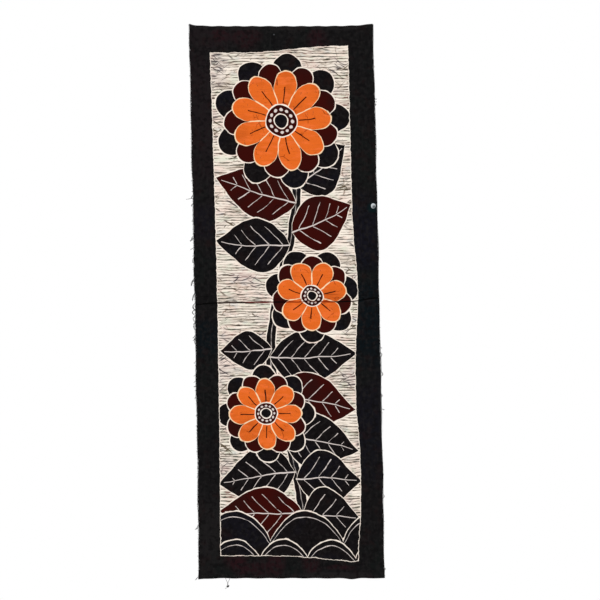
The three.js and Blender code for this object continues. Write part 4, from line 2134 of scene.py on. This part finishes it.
@dataclass
class LooseThread:
    """The end of the hem's sewing thread: two legs, a knot and a short tail."""

    across: float = -105.0
    behind: float = 1.2
    spread: float = 7.0
    legs: float = 13.2
    below_hem: float = 0.3
    knot: float = 2.4
    knot_turns: tuple[tuple[float, float, float, float, float], ...] = (
        (1.0, 0.60, 0.0, 0.2, -0.1),
        (0.62, 0.52, 1.1, 0.0, 0.0),
        (0.42, 0.62, 2.0, 1.7, 1.0),
    )
    tail: tuple[tuple[float, float, float], ...] = ((-1.9, -0.2, -2.3), (-4.4, -0.6, -3.3))
    radius: float = 0.29
    tip: float = 0.8

    def knot_runs(self, middle: np.ndarray) -> list[np.ndarray]:
        """The knot's turns, each a trefoil with its own width, height, tilt and place.

        Args:
            middle: The knot's middle, in metres.

        Returns:
            Their runs of points.
        """
        turn = np.linspace(0, TURN, 60)
        x = np.sin(turn) + 2 * np.sin(2 * turn)
        y = 0.6 * (1.1 * np.sin(3 * turn))
        z = np.cos(turn) - 2 * np.cos(2 * turn)
        runs = []
        for wide, tall, tilt, right, up in self.knot_turns:
            turned_x = x * math.cos(tilt) - z * math.sin(tilt)
            turned_z = x * math.sin(tilt) + z * math.cos(tilt)
            points = np.column_stack([turned_x * wide + right, y, turned_z * tall + up])
            runs.append(middle + points * self.knot / 3 * MM)
        return runs

    def build(self, yarns: Making, material: bpy.types.Material) -> bpy.types.Object:
        """Builds the thread.

        Args:
            yarns: The tree that makes yarns.
            material: The thread's material.

        Returns:
            The piece.
        """
        hem = HANG.place(np.array(self.across), np.array(1.0), np.array(self.behind))[0]
        middle = hem + np.array([0, 0, -self.below_hem - self.legs]) * MM
        runs = []
        for side in (-1, 1):
            start = hem + np.array([side * self.spread / 2, 0, 1.0]) * MM
            shoulder = hem + np.array([side * (self.spread / 2 - 0.4), -0.1, -1.6]) * MM
            pinch = hem + np.array([side * 0.5, 0.2 * side, -self.below_hem - self.legs * 0.52]) * MM
            near = middle + np.array([side * 0.3, 0, 1.6]) * MM
            runs.append(smooth_run([start, shoulder, pinch, near, middle], 7))
        runs += self.knot_runs(middle)
        runs.append(smooth_run([middle, *(middle + np.array(self.tail) * MM)], 6))
        values = {"Radius": self.radius * MM, "Sides": 6, "Tip": self.tip, "Material": material}
        mesh = yarns.apply("loose_thread", wire_mesh("thread_wire", runs), values)
        piece = show("loose_thread", mesh, Slot.THREAD, "loose_hem_thread")
        LOG.info("loose thread: %d faces", len(mesh.polygons))
        return piece


# The studio


@dataclass(frozen=True)
class Lamp:
    """One soft lamp: where it stands, what it points at, its size and its power."""

    name: str
    place: tuple[float, float, float]
    size: float
    power: float


@dataclass
class Studio:
    """A pale floor under the hanging, a white surround, soft lamps and the camera."""

    middle: tuple[float, float, float] = (0.009, 0.0, -0.457)
    floor_at: float = -1.17
    floor_radius: float = 0.9
    floor_rim: float = 0.02
    floor_drop: float = 0.012
    floor_colour: Tint = (0.82, 0.82, 0.81, 1.0)
    floor_roughness: float = 0.8
    white: Tint = (1.0, 1.0, 1.0, 1.0)
    lens: float = 85.0
    sensor: float = 36.0
    stand_off: float = 2.3475
    aim: tuple[float, float] = (0.0316, -0.4536)
    surround: float = 0.675
    lamps: tuple[Lamp, ...] = (
        Lamp("key", (-1.3, -2.4, 0.5), 1.8, 28.7),
        Lamp("fill", (1.7, -2.2, -0.4), 1.8, 16.4),
        Lamp("rear", (0.6, 2.3, 0.3), 1.8, 18.0),
    )

    def floor(self) -> bpy.types.Object:
        """Lays the floor, with its rim turned down a little.

        Returns:
            The floor.
        """
        shape = bmesh.new()
        for rim, drop in ((0.0, 0.0), (self.floor_rim, self.floor_drop)):
            radius = self.floor_radius + rim
            ring = bmesh.ops.create_circle(shape, cap_ends=rim == 0.0, segments=96, radius=radius)
            bmesh.ops.translate(shape, verts=ring["verts"], vec=(0, 0, self.floor_at - drop))
        rims = [e for e in shape.edges if e.is_boundary or not e.link_faces]
        bmesh.ops.bridge_loops(shape, edges=rims)
        mesh = bpy.data.meshes.new("floor")
        shape.to_mesh(mesh)
        shape.free()
        paint = Shading("Pale floor")
        paint.shader.inputs["Base Color"].default_value = self.floor_colour
        paint.shader.inputs["Roughness"].default_value = self.floor_roughness
        mesh.materials.append(paint.material)
        piece = bpy.data.objects.new("floor", mesh)
        bpy.context.scene.collection.objects.link(piece)
        return piece

    def world(self) -> None:
        """Sets the surround: white to look at, softer as light."""
        world = bpy.data.worlds.new("Surround")
        world.use_nodes = True
        nodes = NodeMaker(world.node_tree)
        nodes.tree.nodes.clear()
        seen = nodes.add("ShaderNodeLightPath", {}, {}).outputs["Is Camera Ray"]
        light = nodes.add("ShaderNodeBackground", {}, {"Color": self.white, "Strength": self.surround})
        look = nodes.add("ShaderNodeBackground", {}, {"Color": self.white, "Strength": 1.0})
        mixed = nodes.add("ShaderNodeMixShader", {}, {0: seen, 1: light.outputs[0], 2: look.outputs[0]})
        nodes.add("ShaderNodeOutputWorld", {}, {"Surface": mixed.outputs[0]})
        bpy.context.scene.world = world

    def light(self) -> None:
        """Hangs the lamps, each pointed at the middle of the cloth."""
        for lamp in self.lamps:
            data = bpy.data.lights.new(lamp.name, "AREA")
            data.shape = "SQUARE"
            data.size = lamp.size
            data.energy = lamp.power
            item = bpy.data.objects.new(lamp.name, data)
            item.location = lamp.place
            way = Vector(self.middle) - Vector(lamp.place)
            item.rotation_euler = way.to_track_quat("-Z", "Y").to_euler()
            bpy.context.scene.collection.objects.link(item)

    def camera(self) -> None:
        """Sets the camera square to the cloth, as the photograph was taken."""
        data = bpy.data.cameras.new("camera")
        data.lens = self.lens
        data.sensor_width = self.sensor
        item = bpy.data.objects.new("camera", data)
        item.location = (self.aim[0], -self.stand_off, self.aim[1])
        item.rotation_euler = (math.pi / 2, 0, 0)
        bpy.context.scene.collection.objects.link(item)
        bpy.context.scene.camera = item

    def build(self) -> None:
        """Builds the floor, surround, lamps and camera."""
        self.floor()
        self.world()
        self.light()
        self.camera()
        bpy.context.scene.view_settings.view_transform = "Standard"
        LOG.info("studio: %d lamps", len(self.lamps))


def write_sizes() -> None:
    """Brings the view layer up to date."""
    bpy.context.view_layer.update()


def main() -> None:
    """Builds and dresses the wall hanging, then its studio."""
    logging.basicConfig(level=logging.INFO, format="%(name)s: %(message)s")
    Studio().build()
    cloth = PanelCloth()
    panel = cloth.build()
    yarn = YarnFinish("Frayed yarn", (0.006, 0.0055, 0.0056, 1.0), (0.030, 0.027, 0.027, 1.0)).make()
    thread = YarnFinish("Hem thread", (0.010, 0.009, 0.009, 1.0), (0.050, 0.045, 0.044, 1.0)).make()
    yarns = yarn_making()
    repeats = repeat_making()
    left_side = FrayedSide(Side.LEFT, 5, 34, 0.05, 0.97, 2.4, LEFT_WISPS)
    right_side = FrayedSide(Side.RIGHT, 11, 22, 0.03, 0.97, 1.8, RIGHT_WISPS, stub_length=1.1)
    left = left_side.build(yarns, repeats, yarn)
    right = right_side.build(yarns, repeats, yarn)
    stitches = HemStitches().build(stitch_making(), thread)
    loose = LooseThread().build(yarns, thread)
    write_sizes()


if __name__ == "__main__":
    main()
